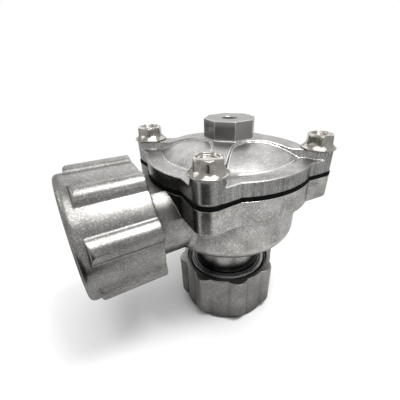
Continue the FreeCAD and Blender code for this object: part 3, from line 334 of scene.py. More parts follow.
def skin(name, grid, closed_rows=False):
    """Mesh of a (rows, columns, 3) grid in millimetres. Columns close on themselves, a first or last row
    whose points all coincide is a pole, and closed_rows joins the last row to the first. Faces are turned
    outwards by the sign of the volume, the sum of a.(b x c)/6 over the triangles."""
    rows, cols, _ = grid.shape
    points = grid.reshape(-1, 3) * MM
    upper = np.arange(rows if closed_rows else rows - 1)[:, None]
    column = np.arange(cols)[None, :]
    lower = (upper + 1) % rows
    following = (column + 1) % cols
    quads = np.stack([upper * cols + column, upper * cols + following,
                      lower * cols + following, lower * cols + column], -1).reshape(-1, 4)
    a, b, c, d = (points[quads[:, k]] for k in range(4))
    volume = (a * (np.cross(b, c) + np.cross(c, d))).sum() / 6
    if volume < 0:
        quads = quads[:, ::-1]
    mesh = bpy.data.meshes.new(name)
    mesh.from_pydata(points.tolist(), [], quads.tolist())
    work = bmesh.new()
    work.from_mesh(mesh)
    bmesh.ops.remove_doubles(work, verts=work.verts, dist=1e-7)
    bmesh.ops.dissolve_degenerate(work, dist=1e-7, edges=work.edges)
    work.to_mesh(mesh)
    work.free()
    mesh.shade_smooth()
    piece = bpy.data.objects.new(name, mesh)
    bpy.context.collection.objects.link(piece)
    print(name, len(mesh.polygons), "faces, volume", round(abs(volume) / MM ** 3, 1), "mm3")
    return piece


def ring(radius, height, angle):
    """Points (radius cos angle, radius sin angle, height), with rows of radii and columns of angles."""
    radius, height, angle = np.broadcast_arrays(radius, height, angle)
    return np.stack([radius * np.cos(angle), radius * np.sin(angle), height], -1)


def steps(*stops):
    """Rows of a profile: each stop is (radius, height, rows to reach it from the stop before)."""
    out = [np.array([stops[0][:2]], float)]
    for (r0, z0, _), (r1, z1, count) in zip(stops, stops[1:]):
        t = np.linspace(0, 1, count + 1)[1:, None]
        out.append(np.array([[r0, z0]]) * (1 - t) + np.array([[r1, z1]]) * t)
    return np.concatenate(out)


def turned(grid, degrees):
    """Grid turned about +Z."""
    x, y, z = np.moveaxis(grid, -1, 0)
    cos, sin = np.cos(np.radians(degrees)), np.sin(np.radians(degrees))
    return np.stack([x * cos - y * sin, x * sin + y * cos, z], -1)


def closed_ends(rows):
    """Rows with their own middle before the first and after the last, which closes both ends with a pole."""
    middles = rows.mean(1, keepdims=True) + 0 * rows
    return np.concatenate([middles[:1], rows, middles[-1:]])


print("a cone in four rows:", steps((5, 0, 0), (1, 6, 4)).tolist())

# %% [markdown]
# Casting leaves no sharp corner, so surfaces meet in fillets. Four short formulas make them all: a maximum
# and a minimum with a rounded corner, a quarter circle and an even step. A fifth makes every thread.

# %% Fillets and thread


def soft_max(a, b, blend):
    """Larger of a and b with a fillet: max + (blend - |a - b|)^2/(4 blend) where closer than blend."""
    near = np.clip(blend - np.abs(a - b), 0, None)
    return np.maximum(a, b) + near ** 2 / (4 * blend)


def soft_min(a, b, blend):
    """Smaller of a and b with the same fillet."""
    return -soft_max(-a, -b, blend)


def quarter_round(t):
    """Rise of a quarter circle, sqrt(1 - (1 - t)^2), for t from 0 to 1."""
    return np.sqrt(np.clip(1 - (1 - np.clip(t, 0, 1)) ** 2, 0, 1))


def even_step(t):
    """Soft step from 0 to 1, t^2 (3 - 2t), for t from 0 to 1."""
    t = np.clip(t, 0, 1)
    return t * t * (3 - 2 * t)


def thread_wave(angle, height, pitch):
    """Triangle wave of a helical thread: 0 at the crest and 1 at the root, climbing one pitch a turn."""
    phase = (height / pitch - angle / (2 * np.pi)) % 1
    return 1 - np.abs(2 * phase - 1)


print("halfway, a quarter circle is at", round(float(quarter_round(0.5)), 3), "and a step at", even_step(0.5))

# %% [markdown]
# Both compression nuts are die castings: a barrel with eight gripping ribs. The ribs stop short of the closed
# end, and every corner is filleted, because molten metal won't fill, and a die won't release, a sharp one.
# The radius of the barrel and of a rib's round back are blended with the soft maximum, which is that fillet.
# A nut is worked out upright round its own port, and the inlet's one is then tipped over.

# %% Places of the two ports
# Turn of a port's pieces round its own axis, in degrees
PORT_TURN = {"outlet": 24.6, "inlet": 27.4}
INLET_X, INLET_Z = -64.8, 55.8
PIPE_PITCH = 2.0


def to_port(grid, port):
    """From the port's frame to the valve's: both turn about +Z, and the inlet also tips +Z over to +X."""
    grid = turned(grid, PORT_TURN[port])
    if port == "outlet":
        return grid
    x, y, z = np.moveaxis(grid, -1, 0)
    return np.stack([z + INLET_X, y, INLET_Z - x], -1)


print("inlet's mouth at", (INLET_X, 0, INLET_Z), "mm")

# %% Compression nuts
NUT_COLUMNS = 384
NUT_END, RIB_START, NUT_MOUTH = -24.5, -19.5, 10.0
BARREL, NUT_CORNER, MOUTH_CORNER = 30.6, 2.6, 0.6
RIB_CENTRE, RIB_ROUND, BURIED = 28.4, 5.2, 24.0
RIB_FOOT = {"outlet": 1.9, "inlet": 1.2}
NUT_BORE, NUT_THREAD = 26.08, 1.2


def rib_back(angle, height, foot):
    """Radius of the ribs' backs: a circle of 5.2 mm centred at 28.4 mm, seen from the axis, under a rounded
    end. Beyond 3.6 mm from a rib's middle, a foot 1.5 mm high runs out over the given width. Between the ribs
    the radius lies buried under the barrel."""
    from_rib = (angle + np.pi / 8) % (np.pi / 4) - np.pi / 8
    side = RIB_CENTRE * np.sin(from_rib)
    back = RIB_CENTRE * np.cos(from_rib) + np.sqrt(np.clip(RIB_ROUND ** 2 - side ** 2, 0, None))
    back = np.where(np.abs(side) < RIB_ROUND, back, BURIED)
    out = (np.abs(side) - 3.6) / foot
    back = np.maximum(back, np.where(out < 1, BARREL + 1.5 * (1 - even_step(out)), BURIED))
    up = height - RIB_START
    end = np.where(up < 0, 29.4 + up * 12, 31.4 + 2.2 * quarter_round(up / 2.2))
    return np.minimum(back, end)


def nut_grid(foot):
    """Closed profile of the nut round its port: end, ribbed barrel, mouth, thread, seal chamber, hole."""
    angle = np.linspace(0, 2 * np.pi, NUT_COLUMNS, endpoint=False)[None, :]
    climb = np.concatenate([NUT_END + NUT_CORNER * (1 - np.cos(np.linspace(0, np.pi / 2, 8)))[:-1],
                            np.linspace(-21.9, -20.1, 5), np.linspace(-19.9, -17.2, 14),
                            np.linspace(-16.8, NUT_MOUTH - MOUTH_CORNER, 22)])
    barrel = BARREL - NUT_CORNER + NUT_CORNER * quarter_round((climb - NUT_END) / NUT_CORNER)
    outer = soft_max(barrel[:, None], rib_back(angle, climb[:, None], foot), 2.8)
    lip = outer[-1:]
    bend = np.array([0.4, 0.9, 1.57])
    edge = np.concatenate([lip - MOUTH_CORNER * (1 - np.cos(a)) for a in bend])
    edge_z = NUT_MOUTH - MOUTH_CORNER + MOUTH_CORNER * np.sin(bend)
    share = np.linspace(0, 1, 7)[1:-1, None]
    face = (lip - MOUTH_CORNER) * (1 - share) + 28.1 * share
    inside = steps((28.1, NUT_MOUTH, 0), (27.8, 9.7, 1), (27.8, 7.5, 4), (26.1, 7.5, 2), (NUT_BORE, 7.4, 1),
                   (NUT_BORE, -9.6, 72), (NUT_BORE, -10, 1), (24.2, -10, 3), (24.2, -20, 4), (17.6, -20, 6),
                   (17.6, -24.1, 3), (18.0, NUT_END, 1))
    in_bore = np.isclose(inside[:, 0], NUT_BORE)
    cut = np.clip(np.minimum(7.4 - inside[:, 1], inside[:, 1] + 9.9) / 1.2, 0, 1) * in_bore
    inner = inside[:, :1] + NUT_THREAD * cut[:, None] * thread_wave(angle, inside[:, 1:], PIPE_PITCH)
    end = steps((18.0, NUT_END, 0), (BARREL - NUT_CORNER, NUT_END, 6))[1:-1]
    radius = np.concatenate([end[:, :1] + 0 * angle, outer, edge, face, inner])
    height = np.concatenate([end[:, 1], climb, edge_z, np.full(len(face), NUT_MOUTH), inside[:, 1]])
    return ring(radius, height[:, None], angle)


for port in ("outlet", "inlet"):
    nut = skin(port + "_compression_nut", to_port(nut_grid(RIB_FOOT[port]), port), closed_rows=True)
    nut.data.materials.append(cast_nut)
    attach(nut, port + "_nut")
    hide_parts(port + "_nut")

# %% [markdown]
# Each threaded collar carries the pipe socket and a helical M52 x 2 thread, which runs out through the
# collar's top face and leaves a small notch there. A thread could be a Screw modifier; here it is a triangle
# wave on the radius. The top face has a shallow turned groove.

# %% Threaded collars
# Turn of each thread round its collar, in radians
THREAD_START = {"outlet": 3.57, "inlet": 0.0}
COLLAR, COLLAR_THREAD = 26.0, 1.15

for port in ("outlet", "inlet"):
    angle = np.linspace(0, 2 * np.pi, 240, endpoint=False)[None, :]
    rows = steps((22.6, -7, 0), (17.0, 0, 6), (17.0, 8.99, 5), (21.8, 9.0, 4), (21.9, 8.1, 2), (23.1, 8.1, 2),
                 (23.3, 8.9, 2), (23.45, 9.0, 1), (25.3, 9.0, 4), (COLLAR, 8.5, 2), (COLLAR, -6.5, 90),
                 (25.4, -7, 1))
    fade = np.clip(rows[:, 1] + 7, 0, 1) * (rows[:, 0] > 25)
    wave = thread_wave(angle + THREAD_START[port], rows[:, 1:], PIPE_PITCH)
    radius = rows[:, :1] - COLLAR_THREAD * fade[:, None] * wave
    grid = to_port(ring(radius, rows[:, 1:], angle), port)
    collar = skin(port + "_threaded_collar", grid, closed_rows=True)
    collar.data.materials.append(machined_aluminium)
    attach(collar, "housing")
    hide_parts(port + "_collar")

# %% [markdown]
# The cover's upper side is one cast surface: a domed floor in four pockets, a cross of arms from the hub to
# the bolt pads, a flat ledge round the rim, and the octagonal boss of the pilot port. Boolean blocks with
# bevels would leave hard joints, so the height is a formula instead: inside the cross it is the arms' top,
# outside it the pockets' floor, and a steep wall with a soft shoulder and a soft foot joins them, as the
# die's rounded edges do. First come the outline and the distance to the cross, the same in each eighth.

# %% Outline of the cover and of its arms
RIM, EAR, BOLT_CIRCLE = 46.3, 7.8, 48.0
HUB, ARM, PAD = 14.3, 5.0, 7.1
HUB_ROUND, PAD_ROUND = 16.0, 4.0
WALL_TURN = np.radians(17.5)


def ear_turn(angle):
    """Angle from the nearest ear, 0 to 45 degrees."""
    return np.abs((angle % (np.pi / 2)) - np.pi / 4)


def cover_outline(angle, grow=0.0):
    """Radius of the rim: a circle, four round ears on the bolt circle, and straight walls that touch the ears
    and meet the circle 17.5 degrees beside them. grow makes the circle and the ears larger."""
    side = ear_turn(angle)
    rim, lug = RIM + grow, EAR + grow
    crease = np.array([np.cos(WALL_TURN), np.sin(WALL_TURN)]) * rim
    back = crease - (BOLT_CIRCLE, 0)
    lean = np.arctan2(back[1], back[0]) - np.arccos(lug / np.hypot(*back))
    touch = np.array([BOLT_CIRCLE + lug * np.cos(lean), lug * np.sin(lean)])
    run = crease - touch
    wall = (touch[0] * run[1] - touch[1] * run[0]) / (np.cos(side) * run[1] - np.sin(side) * run[0])
    ear = BOLT_CIRCLE * np.cos(side) + np.sqrt(np.clip(lug ** 2 - (BOLT_CIRCLE * np.sin(side)) ** 2, 0, None))
    return np.where(side < np.arctan2(touch[1], touch[0]), ear, np.where(side < WALL_TURN, wall, rim))


def cross_distance(radius, angle):
    """Distance outside the cross of hub, arms and pads, less than zero inside it. Rounds of 16 mm fill the
    corners between hub and arms, and rounds of 4 mm those between arms and pads."""
    side = ear_turn(angle)
    along, off = radius * np.cos(side), radius * np.sin(side)
    pad = np.hypot(np.minimum(along - BOLT_CIRCLE, 0), off) - PAD
    plain = np.minimum(np.minimum(off - ARM, radius - HUB), pad)
    centre = (np.sqrt((HUB + HUB_ROUND) ** 2 - (ARM + HUB_ROUND) ** 2), ARM + HUB_ROUND)
    by_hub = (along < centre[0]) & (side < np.arctan2(centre[1], centre[0]))
    cross = np.where(by_hub, HUB_ROUND - np.hypot(along - centre[0], off - centre[1]), plain)
    centre = (BOLT_CIRCLE - np.sqrt((PAD + PAD_ROUND) ** 2 - (ARM + PAD_ROUND) ** 2), ARM + PAD_ROUND)
    reach = np.arctan2(centre[1], BOLT_CIRCLE - centre[0])
    by_pad = (along > centre[0]) & (np.arctan2(off, BOLT_CIRCLE - along) < reach)
    return np.where(by_pad, PAD_ROUND - np.hypot(along - centre[0], off - centre[1]), cross)


print("ears reach", round(float(cover_outline(np.pi / 4)), 2), "mm from the axis, the rim", RIM)

# %% Height of the upper side
CLAMP_FACE, LEDGE, PAD_TOP, POCKET_TOP, ARM_TOP, BOSS_TOP = 75.8, 83.5, 87.8, 90.7, 91.8, 101.8
PIN_MARK_R, PIN_MARK_TURN = 42.15, np.radians(13.5)


def cover_height(radius, angle):
    """Height of the cast surface outside the hub. Arms and pocket floors both fall with the square of the way
    from the hub, down to the pads and to the ledge. A wall of 3.5 mm a millimetre joins them at the cross's
    edge. A bell curve adds the fine lip where a pocket meets the ledge, and small discs the pin marks."""
    cross = cross_distance(radius, angle)
    fall = (radius - HUB) ** 2
    top = soft_max(ARM_TOP - 0.0103 * fall, PAD_TOP + 0 * radius, 0.8)
    base = soft_max(POCKET_TOP - 0.0125 * fall, LEDGE + 0 * radius, 0.05)
    base += 0.3 * np.exp(-((radius - 37.9) / 0.32) ** 2)
    height = soft_max(base, soft_min(top, (top + base) / 2 - 3.5 * cross, 0.8), 0.35)
    side = ear_turn(angle) - PIN_MARK_TURN
    pin = np.hypot(radius * np.cos(side) - PIN_MARK_R, radius * np.sin(side))
    return height + 0.12 * np.clip((2.5 - pin) / 0.4, 0, 1)


for label, turn in (("arm", np.pi / 4), ("pocket", 0.0)):
    print(label, "heights at 20, 30 and 40 mm:", cover_height(np.array([20.0, 30, 40]), turn).round(2))

# %% [markdown]
# The arms' walls are steep, so evenly spread columns would cut them into steps. Away from the hub the columns
# are therefore crowded together at the walls. Where a wall stands depends on the radius, and the radius of a
# column's points depends on where the column goes, so the two are worked out in turns until they agree.

# %% Columns crowded at the walls
FIELD_START, EDGE_ROUND = 14.6, 0.75
COVER_COLUMNS, COVER_ROWS = 576, 120


def wall_angle(radius):
    """Angle from the ear at which a circle of this radius meets the cross's edge, found on a fine table."""
    table = np.linspace(0, np.pi / 4, 600)
    rings = np.linspace(14.0, 56.0, 300)
    inside = cross_distance(rings[:, None], table[None, :] + np.pi / 4) < 0
    return np.interp(radius, rings, inside.sum(axis=1) / 600 * np.pi / 4)


def field_radius(angle, share):
    """Radius at a share of the way from the hub's foot to where the rim's edge starts to round."""
    return FIELD_START + (cover_outline(angle) - EDGE_ROUND - FIELD_START) * share


def crowded_angles(columns, share):
    """Angles of the grid's points: even at the hub, and from 15 percent of the way to the rim on, two fifths
    of the columns lie within 0.9 mm of a wall and the others are spread evenly between."""
    side = ear_turn(columns)
    towards = np.sign((columns % (np.pi / 2)) - np.pi / 4)
    crowd = even_step((share - 0.02) / 0.13)
    marks = [0, 0.20 * np.pi / 4, 0.60 * np.pi / 4, np.pi / 4]
    angle = columns + 0 * share
    for _ in range(14):
        radius = field_radius(angle, share)
        wall = wall_angle(radius)
        half = np.minimum(0.9 / radius, 0.8 * np.minimum(wall, np.pi / 4 - wall) + 0.001)
        stops = [0 * wall, wall - half, wall + half, 0 * wall + np.pi / 4]
        packed = np.zeros_like(wall)
        for low, high, first, last in zip(stops, stops[1:], marks, marks[1:]):
            part = (side - first) / (last - first)
            packed = np.where((side >= first) & (side <= last), low + (high - low) * part, packed)
        angle = columns + towards * (packed - side) * crowd
    return angle


columns = np.linspace(0, 2 * np.pi, COVER_COLUMNS, endpoint=False)[None, :]
# The rows lie closest at the hub's foot and where a pocket meets the ledge
share = np.interp(np.arange(COVER_ROWS), [0, 28, 82, 102, 119], [0, 0.10, 0.72, 0.79, 1.0])[:, None]
field_turn = crowded_angles(columns, share)
print("columns moved by up to", round(float(np.degrees(np.abs(field_turn - columns).max())), 1), "degrees")

# %% Field and boss of the cover
PORT_BORE, BOSS_FLAT, PILOT_ROOM, SPRING_ROOM = 4.3, 13.0, 24.8, 10.0
field_r = field_radius(field_turn, share)
field_z = cover_height(field_r, field_turn)
# The boss is an octagon, flat/cos(angle from the side's middle), with a rounded top edge and a filleted foot
over = steps((PORT_BORE, 101.2, 0), (4.5, 101.6, 1), (4.9, BOSS_TOP, 1), (7.5, BOSS_TOP, 1),
             (10.0, BOSS_TOP, 1))
flat = BOSS_FLAT / np.cos((columns + np.pi / 8) % (np.pi / 4) - np.pi / 8)
boss_r = flat + np.array([-0.4, -0.25, -0.12, -0.03, 0, 0, 0, 0, 0.05, 0.2, 0.45])[:, None]
boss_z = np.array([BOSS_TOP, 101.79, 101.72, 101.58, 101.4, 98.5, 95.5, 92.8, 92.3, 92.0, 91.82])[:, None]
print("boss", 2 * BOSS_FLAT, "mm across its flats, field of", field_r.size, "points")

# %% Cover casting
# The rim's edge is a quarter circle, then the wall drops to the clamped face, and the profile returns inside
outline = cover_outline(field_turn[-1:])
drop = np.radians([25, 45, 65, 90])[:, None]
edge_r = outline - EDGE_ROUND + EDGE_ROUND * np.sin(drop)
edge_z = field_z[-1:] - EDGE_ROUND * (1 - np.cos(drop))
down = np.linspace(0, 1, 7)[1:, None]
wall_z = edge_z[-1:] * (1 - down) + CLAMP_FACE * down
under = steps((46, CLAMP_FACE, 0), (PILOT_ROOM, CLAMP_FACE, 4), (PILOT_ROOM, 84.6, 3),
              (SPRING_ROOM, 84.6, 3), (SPRING_ROOM, 92.8, 3), (PORT_BORE, 92.8, 2), (PORT_BORE, 100.6, 3))[1:]
radius = np.concatenate([over[:, :1] + 0 * columns, boss_r, field_r, edge_r, outline + 0 * down,
                         under[:, :1] + 0 * columns])
height = np.concatenate([over[:, 1:] + 0 * columns, boss_z + 0 * columns, field_z, edge_z, wall_z,
                         under[:, 1:] + 0 * columns])
head = len(over) + len(boss_r)
turns = np.concatenate([columns + np.zeros((head, 1)), field_turn,
                        field_turn[-1:] + np.zeros((len(radius) - head - COVER_ROWS, 1))])
casting = skin("cover_casting", ring(radius, height, turns), closed_rows=True)
casting.data.materials.append(cast_cover)
casting.data.materials.append(milled_aluminium)
# Only the boss is milled, down to where its foot starts to spread
milled = np.zeros(len(casting.data.polygons), np.int32)
milled[:COVER_COLUMNS * (head - 4)] = 1
casting.data.polygons.foreach_set("material_index", milled)
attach(casting, "housing")
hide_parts("cover")
print("cover casting", radius.shape)

# %% [markdown]
# The cover bolts are cold-headed flange bolts M8 x 25, nickel plated. The head is struck in one blow, so its
# corners are soft, the flange has a shallow slope and the top is dished inside a rounded rim. The hexagon is
# a radius that grows towards the corners as 1/cos, capped where the header's die rounds them.

# %% Cover bolts
# Bearing of the bolt from the axis and twist of its head, both in degrees
BOLTS = {"back": (45, 20.0), "left": (135, 1.1), "front": (225, 3.7), "right": (315, 45.6)}
BOLT_PITCH, SHANK, FLANGE = 1.25, 4.0, 8.4


def hex_radius(angle, half_flat, corner):
    """Distance to a hexagon's side, half_flat/cos(angle from the side's middle), softly capped at corner."""
    from_side = angle % (np.pi / 3) - np.pi / 6
    side = half_flat / np.cos(from_side)
    return side - soft_max(side - corner, np.zeros_like(side), 0.35)


def bolt_grid():
    """Profile from the shank's point to the middle of the dished top, round the bolt's axis, seat at zero."""
    angle = np.linspace(0, 2 * np.pi, 120, endpoint=False)[None, :]
    rows = steps((0, -25, 0), (2.6, -25, 2), (3.6, -24.2, 2), (SHANK, -23.6, 1), (SHANK, -2.0, 104),
                 (SHANK, -0.4, 2), (4.4, 0, 1), (8.3, 0, 4))
    fade = np.clip(np.minimum(rows[:, 1] + 24.2, -1.6 - rows[:, 1]) / 1.2, 0, 1) * (rows[:, 0] > 3)
    shank = rows[:, :1] - 0.62 * fade[:, None] * thread_wave(angle, rows[:, 1:], BOLT_PITCH)
    turn = np.linspace(-np.pi / 2, np.pi / 2, 7)[:, None]
    rim = 8.55 + 0.4 * np.cos(turn) + 0 * angle
    rim_z = 0.43 + 0.4 * np.sin(turn) + 0 * angle
    waist = hex_radius(angle, 6.35, 7.15)
    share = np.linspace(0, 1, 9)[1:, None]
    slope = FLANGE * (1 - share) + waist * share
    slope_z = 0.95 + (FLANGE - slope) * 1.02 + 0.35 * share ** 4
    side_z = np.array([2.9, 3.4, 4.4, 5.4, 6.0, 6.4])[:, None] + 0 * angle
    side = waist - 0.05 * (side_z - 2.9)
    side_z = np.maximum(side_z, slope_z[-1:] + 0.1 * np.arange(1, 7)[:, None])
    cone = np.linspace(0, 1, 8)[1:, None]
    crown = side[-1:] + (5.6 - side[-1:]) * cone
    crown_z = np.maximum(7.75 - (crown - 5.6) * 0.62, 6.5) - 0.25 * cone ** 8
    top = steps((5.45, 7.62, 0), (5.1, 7.68, 2), (4.8, 7.55, 2), (4.6, 7.2, 2), (4.4, 6.75, 2),
                (4.0, 6.52, 2), (2.6, 6.5, 2), (1.2, 6.62, 1), (0, 6.66, 1))
    radius = np.concatenate([shank, rim, slope, side, crown, top[:, :1] + 0 * angle])
    height = np.concatenate([rows[:, 1:] + 0 * angle, rim_z, slope_z, side_z, crown_z,
                             top[:, 1:] + 0 * angle])
    return ring(radius, height, angle)


for corner, (bearing, twist) in BOLTS.items():
    seat = (BOLT_CIRCLE * np.cos(np.radians(bearing)), BOLT_CIRCLE * np.sin(np.radians(bearing)), PAD_TOP)
    bolt = skin("flange_bolt_" + corner, turned(bolt_grid(), twist) + seat)
    bolt.data.materials.append(nickel)
    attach(bolt, "housing")
    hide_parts("cover_bolt_" + corner)

# %% [markdown]
# The spring and the diaphragm give way when the valve opens, so the rigid solids of the CAD can't stand for
# them. The spring flattens towards its pocket: a round wire carried along a helix, whose first and last turn
# lie almost flat, as closed ends do.

# %% Return spring
# COIL and WIRE are radii
SPRING_LOW, SPRING_TOP, COIL, WIRE = 77.32, 92.78, 8.6, 0.6
COIL_TURNS, END_RISE = 6, 1.25
turn = np.linspace(0, COIL_TURNS, 433)[:, None]
section = np.linspace(0, 2 * np.pi, 16, endpoint=False)[None, :]
climb = SPRING_TOP - SPRING_LOW - 2 * WIRE
rise = np.interp(turn, [0, 1, COIL_TURNS - 1, COIL_TURNS], [0, END_RISE, climb - END_RISE, climb])
coil_z = SPRING_LOW + WIRE + rise + WIRE * np.sin(section)
wire = ring(COIL + WIRE * np.cos(section), coil_z, 2 * np.pi * turn)
coils = skin("return_spring_coils", closed_ends(wire))
coils.data.materials.append(stainless)
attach(coils, "housing")
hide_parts("return_spring")
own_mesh(coils)

# %% [markdown]
# The diaphragm's rim stays clamped between the castings and follows their ears, and its middle lifts with the
# discs. The folded web between them is cut in twelve sectors.

# %% Diaphragm in its three parts
SHEET_LOW, SHEET_TOP, FOLD_LOW = 74.3, 75.8, 71.7
STUD_HOLE, DISC_EDGE, RIM_START = 3.05, 25.0, 36.5
BEND_START, SECTORS = 35.2, 12
around = np.linspace(0, 2 * np.pi, 512, endpoint=False)[None, :]
share = np.array([0, 0.5, 0.9, 1, 1, 0.9, 0.5, 0])[:, None]
rim_r = RIM_START + (cover_outline(around, 0.4) - RIM_START) * share
rim_z = np.repeat([SHEET_LOW, SHEET_TOP], 4)[:, None]
rim = skin("diaphragm_rim", ring(rim_r, rim_z, around), closed_rows=True)
middle = steps((STUD_HOLE, SHEET_LOW, 0), (DISC_EDGE, SHEET_LOW, 6), (DISC_EDGE, SHEET_TOP, 2),
               (STUD_HOLE, SHEET_TOP, 6))
centre = skin("diaphragm_centre", ring(middle[:, :1], middle[:, 1:], around[:, ::4]), closed_rows=True)
fold = steps((DISC_EDGE, SHEET_LOW, 0), (27.5, FOLD_LOW, 4), (34, FOLD_LOW, 6), (RIM_START, SHEET_LOW, 4))
loop = np.concatenate([fold, fold[::-1] + (0, SHEET_TOP - SHEET_LOW)])
pieces = [(rim, "housing"), (centre, "diaphragm_pack")]
for number in range(SECTORS):
    bearing = 2 * np.pi * number / SECTORS
    turn = bearing + np.linspace(-np.pi, np.pi, 13)[:, None] / SECTORS
    web = closed_ends(ring(loop[:, 0][None, :], loop[:, 1][None, :], turn))
    sector = skin("diaphragm_web_%02d" % (number + 1), web)
    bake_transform(sector)
    pieces.append((sector, None))
for piece, body in pieces:
    piece.data.materials.append(rubber)
    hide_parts("diaphragm")
    if body:
        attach(piece, body)
print("diaphragm in", len(pieces), "pieces")

# %% [markdown]
# The photograph was taken from close by, looking down 30 degrees past the front bolt, so the near nut looms
# large. The camera's place, tilt and focal length come from a fit to the bolt circle, the nuts and the pilot
# boss. The fit counts lengths in radii of the bolt circle, from its middle at the height of the pads.

# %% Camera
PITCH, ROLL, TURN = math.radians(29.8808), math.radians(-0.6229), math.radians(-31.7)
BACK, ASIDE, LOWER = 2.9928, 0.1800, 0.7968
PICTURE_PX, FOCAL_PX, CENTRE_PX = 400, 252.6665, (214.5869, 210.4200)
SENSOR = 36
ahead = Vector((0, math.cos(PITCH), -math.sin(PITCH)))
upward = Vector((0, math.sin(PITCH), math.cos(PITCH)))
across = Vector((1, 0, 0))
place = (-ahead * BACK - across * ASIDE - upward * LOWER) * BOLT_CIRCLE * MM
rolled_across = across * math.cos(ROLL) + upward * math.sin(ROLL)
rolled_up = upward * math.cos(ROLL) - across * math.sin(ROLL)
facing = Matrix((rolled_across, rolled_up, -ahead)).transposed().to_4x4()
camera_data = bpy.data.cameras.new("camera")
camera = bpy.data.objects.new("camera", camera_data)
bpy.context.collection.objects.link(camera)
camera.matrix_world = (Matrix.Translation((0, 0, PAD_TOP * MM)) @ Matrix.Rotation(TURN, 4, "Z")
                       @ Matrix.Translation(place) @ facing)
camera_data.sensor_width = SENSOR
camera_data.lens = FOCAL_PX / PICTURE_PX * SENSOR
camera_data.shift_x = 0.5 - CENTRE_PX[0] / PICTURE_PX
camera_data.shift_y = CENTRE_PX[1] / PICTURE_PX - 0.5
camera_data.clip_start = 0.01
bpy.context.scene.camera = camera
print("camera", [round(v / MM) for v in camera.location], "mm, lens", round(camera_data.lens, 1), "mm")

# %% [markdown]
# The floor is plain and pale, and the world is plain white. Metal shows the white world as the camera does,
# and a weaker one lights the diffuse surfaces, so that lamps and world together make the floor white and no
# brighter. Away from the valve the floor, too, is shown as plain white, which hides its far edge.

# %% Floor and world
FLOOR, FLOOR_REACH = cad_box[0][2], 3
FLOOR_COLOUR, WORLD_LEVEL = "#ececec", 0.3
FADE_START, FADE_END = 0.07, 0.24


def shown_rays(tree):
    """Socket that is 1 for rays that show a surface, from the camera, off metal or through glass, else 0."""
    ray = add(tree, "LightPath")
    seen = add(tree, "Math", {0: ray.outputs["Is Camera Ray"], 1: ray.outputs["Is Glossy Ray"]},
               operation="MAXIMUM").outputs[0]
    return add(tree, "Math", {0: seen, 1: ray.outputs["Is Transmission Ray"]}, operation="MAXIMUM").outputs[0]


floor_mesh = bpy.data.meshes.new("floor")
corners = [(x * FLOOR_REACH, y * FLOOR_REACH, FLOOR) for x, y in ((-1, -1), (1, -1), (1, 1), (-1, 1))]
floor_mesh.from_pydata(corners, [], [(0, 1, 2, 3)])
floor = bpy.data.objects.new("floor", floor_mesh)
bpy.context.collection.objects.link(floor)
floor_finish, paint, floor_shader, floor_place = start_material("pale_floor", 0.0, 0.9)
floor_shader.inputs["Base Color"].default_value = linear(FLOOR_COLOUR)
floor_shader.inputs["Specular IOR Level"].default_value = 0.0
away = add(paint, "VectorMath", {0: floor_place}, operation="LENGTH").outputs["Value"]
far_share = add(paint, "MapRange", {"Value": away, "From Min": FADE_START, "From Max": FADE_END},
                interpolation_type="SMOOTHSTEP").outputs[0]
white_share = add(paint, "Math", {0: far_share, 1: shown_rays(paint)}, operation="MULTIPLY").outputs[0]
glow = add(paint, "Emission", {"Color": (1, 1, 1, 1), "Strength": 1.0}).outputs[0]
blend = add(paint, "MixShader", {0: white_share, 1: floor_shader.outputs[0], 2: glow}).outputs[0]
paint.links.new(blend, next(n for n in paint.nodes if n.type == "OUTPUT_MATERIAL").inputs["Surface"])
floor.data.materials.append(floor_finish)

world = bpy.data.worlds.new("white_studio")
bpy.context.scene.world = world
world.use_nodes = True
sky = world.node_tree
sky.nodes.clear()
level = add(sky, "MapRange", {"Value": shown_rays(sky), "To Min": WORLD_LEVEL, "To Max": 1.0}).outputs[0]
white = add(sky, "Background", {"Color": (1, 1, 1, 1), "Strength": level}).outputs[0]
add(sky, "OutputWorld", {"Surface": white})
print("floor at", round(FLOOR / MM, 1), "mm")

# %% [markdown]
# Bare metal is a mirror of its surroundings, so its look is made by what stands around it. A wide softbox
# overhead lights the level faces, and a small strong one high on the right draws the sharp highlights on ribs
# and edges. Three more, behind, behind on the left and on the left, draw the bright bands on the walls that
# turn away. Dark cards lie on the floor and are seen only in reflections: one pair at the left and behind it,
# and one before the valve, which gives the walls that face the camera their dark bands.

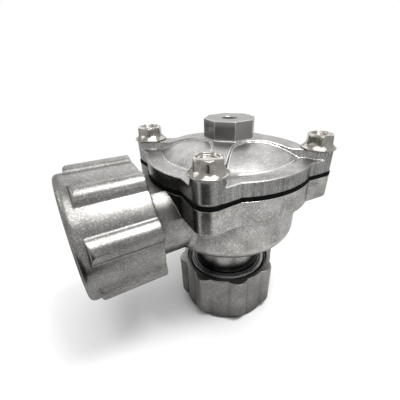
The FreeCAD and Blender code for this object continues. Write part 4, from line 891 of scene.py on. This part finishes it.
# %% Softboxes and cards
# Name, bearing and elevation in degrees, then distance, width and depth in metres, and radiance
LAMPS = (("top_softbox", 12, 74, 0.60, 0.44, 0.44, 3.7), ("back_softbox", 158, 40, 0.65, 0.66, 0.42, 1.25),
         ("side_softbox", -152, 36, 0.62, 0.28, 0.46, 1.5), ("key_softbox", 54, 66, 0.55, 0.14, 0.14, 28.0),
         ("left_softbox", -82, 34, 0.60, 0.22, 0.22, 2.2))
# First and last bearing in degrees, near and far edge in metres
CARDS = ((-150, -110, 0.09, 0.24), (-110, -68, 0.08, 0.24), (-44, -18, 0.165, 0.9), (-18, 8, 0.165, 0.9))
AIM = Vector((0, 0, 0.06))
CARD_LIFT = Vector((0, 0, FLOOR + 0.002))


def direction(bearing, elevation=0):
    """Unit vector from the valve. The bearing counts from the camera's side, positive to its right."""
    turn, lift = math.radians(bearing) + TURN, math.radians(elevation)
    return Vector((math.sin(turn) * math.cos(lift), -math.cos(turn) * math.cos(lift), math.sin(lift)))


def softbox(name, bearing, elevation, distance, width, depth, radiance):
    """Area lamp aimed at the valve; its power in watts is 4 x area x radiance."""
    spot = direction(bearing, elevation) * distance
    data = bpy.data.lights.new(name, "AREA")
    data.shape = "RECTANGLE"
    data.size, data.size_y = width, depth
    data.energy = 4 * width * depth * radiance
    lamp = bpy.data.objects.new(name, data)
    bpy.context.collection.objects.link(lamp)
    lamp.location = spot + AIM
    lamp.rotation_euler = (-spot).to_track_quat("-Z", "Y").to_euler()
    print(name, "at", [round(v / MM) for v in lamp.location], "mm,", round(data.energy, 2), "W")


for lamp in LAMPS:
    softbox(*lamp)

corners = [direction(bearing) * out + CARD_LIFT for first, last, near, far in CARDS
           for bearing, out in ((first, near), (last, near), (last, far), (first, far))]
card_mesh = bpy.data.meshes.new("grey_cards")
card_mesh.from_pydata(corners, [], [(k, k + 1, k + 2, k + 3) for k in range(0, len(corners), 4)])
card = bpy.data.objects.new("grey_cards", card_mesh)
bpy.context.collection.objects.link(card)
card_finish, _, card_shader, _ = start_material("dark_card", 0.0, 0.9)
card_shader.inputs["Base Color"].default_value = linear("#1a1a1a")
card.data.materials.append(card_finish)
card.visible_camera = card.visible_diffuse = card.visible_shadow = False
print(len(CARDS), "cards on the floor")

# %% View transform
bpy.context.scene.view_settings.view_transform = "Standard"
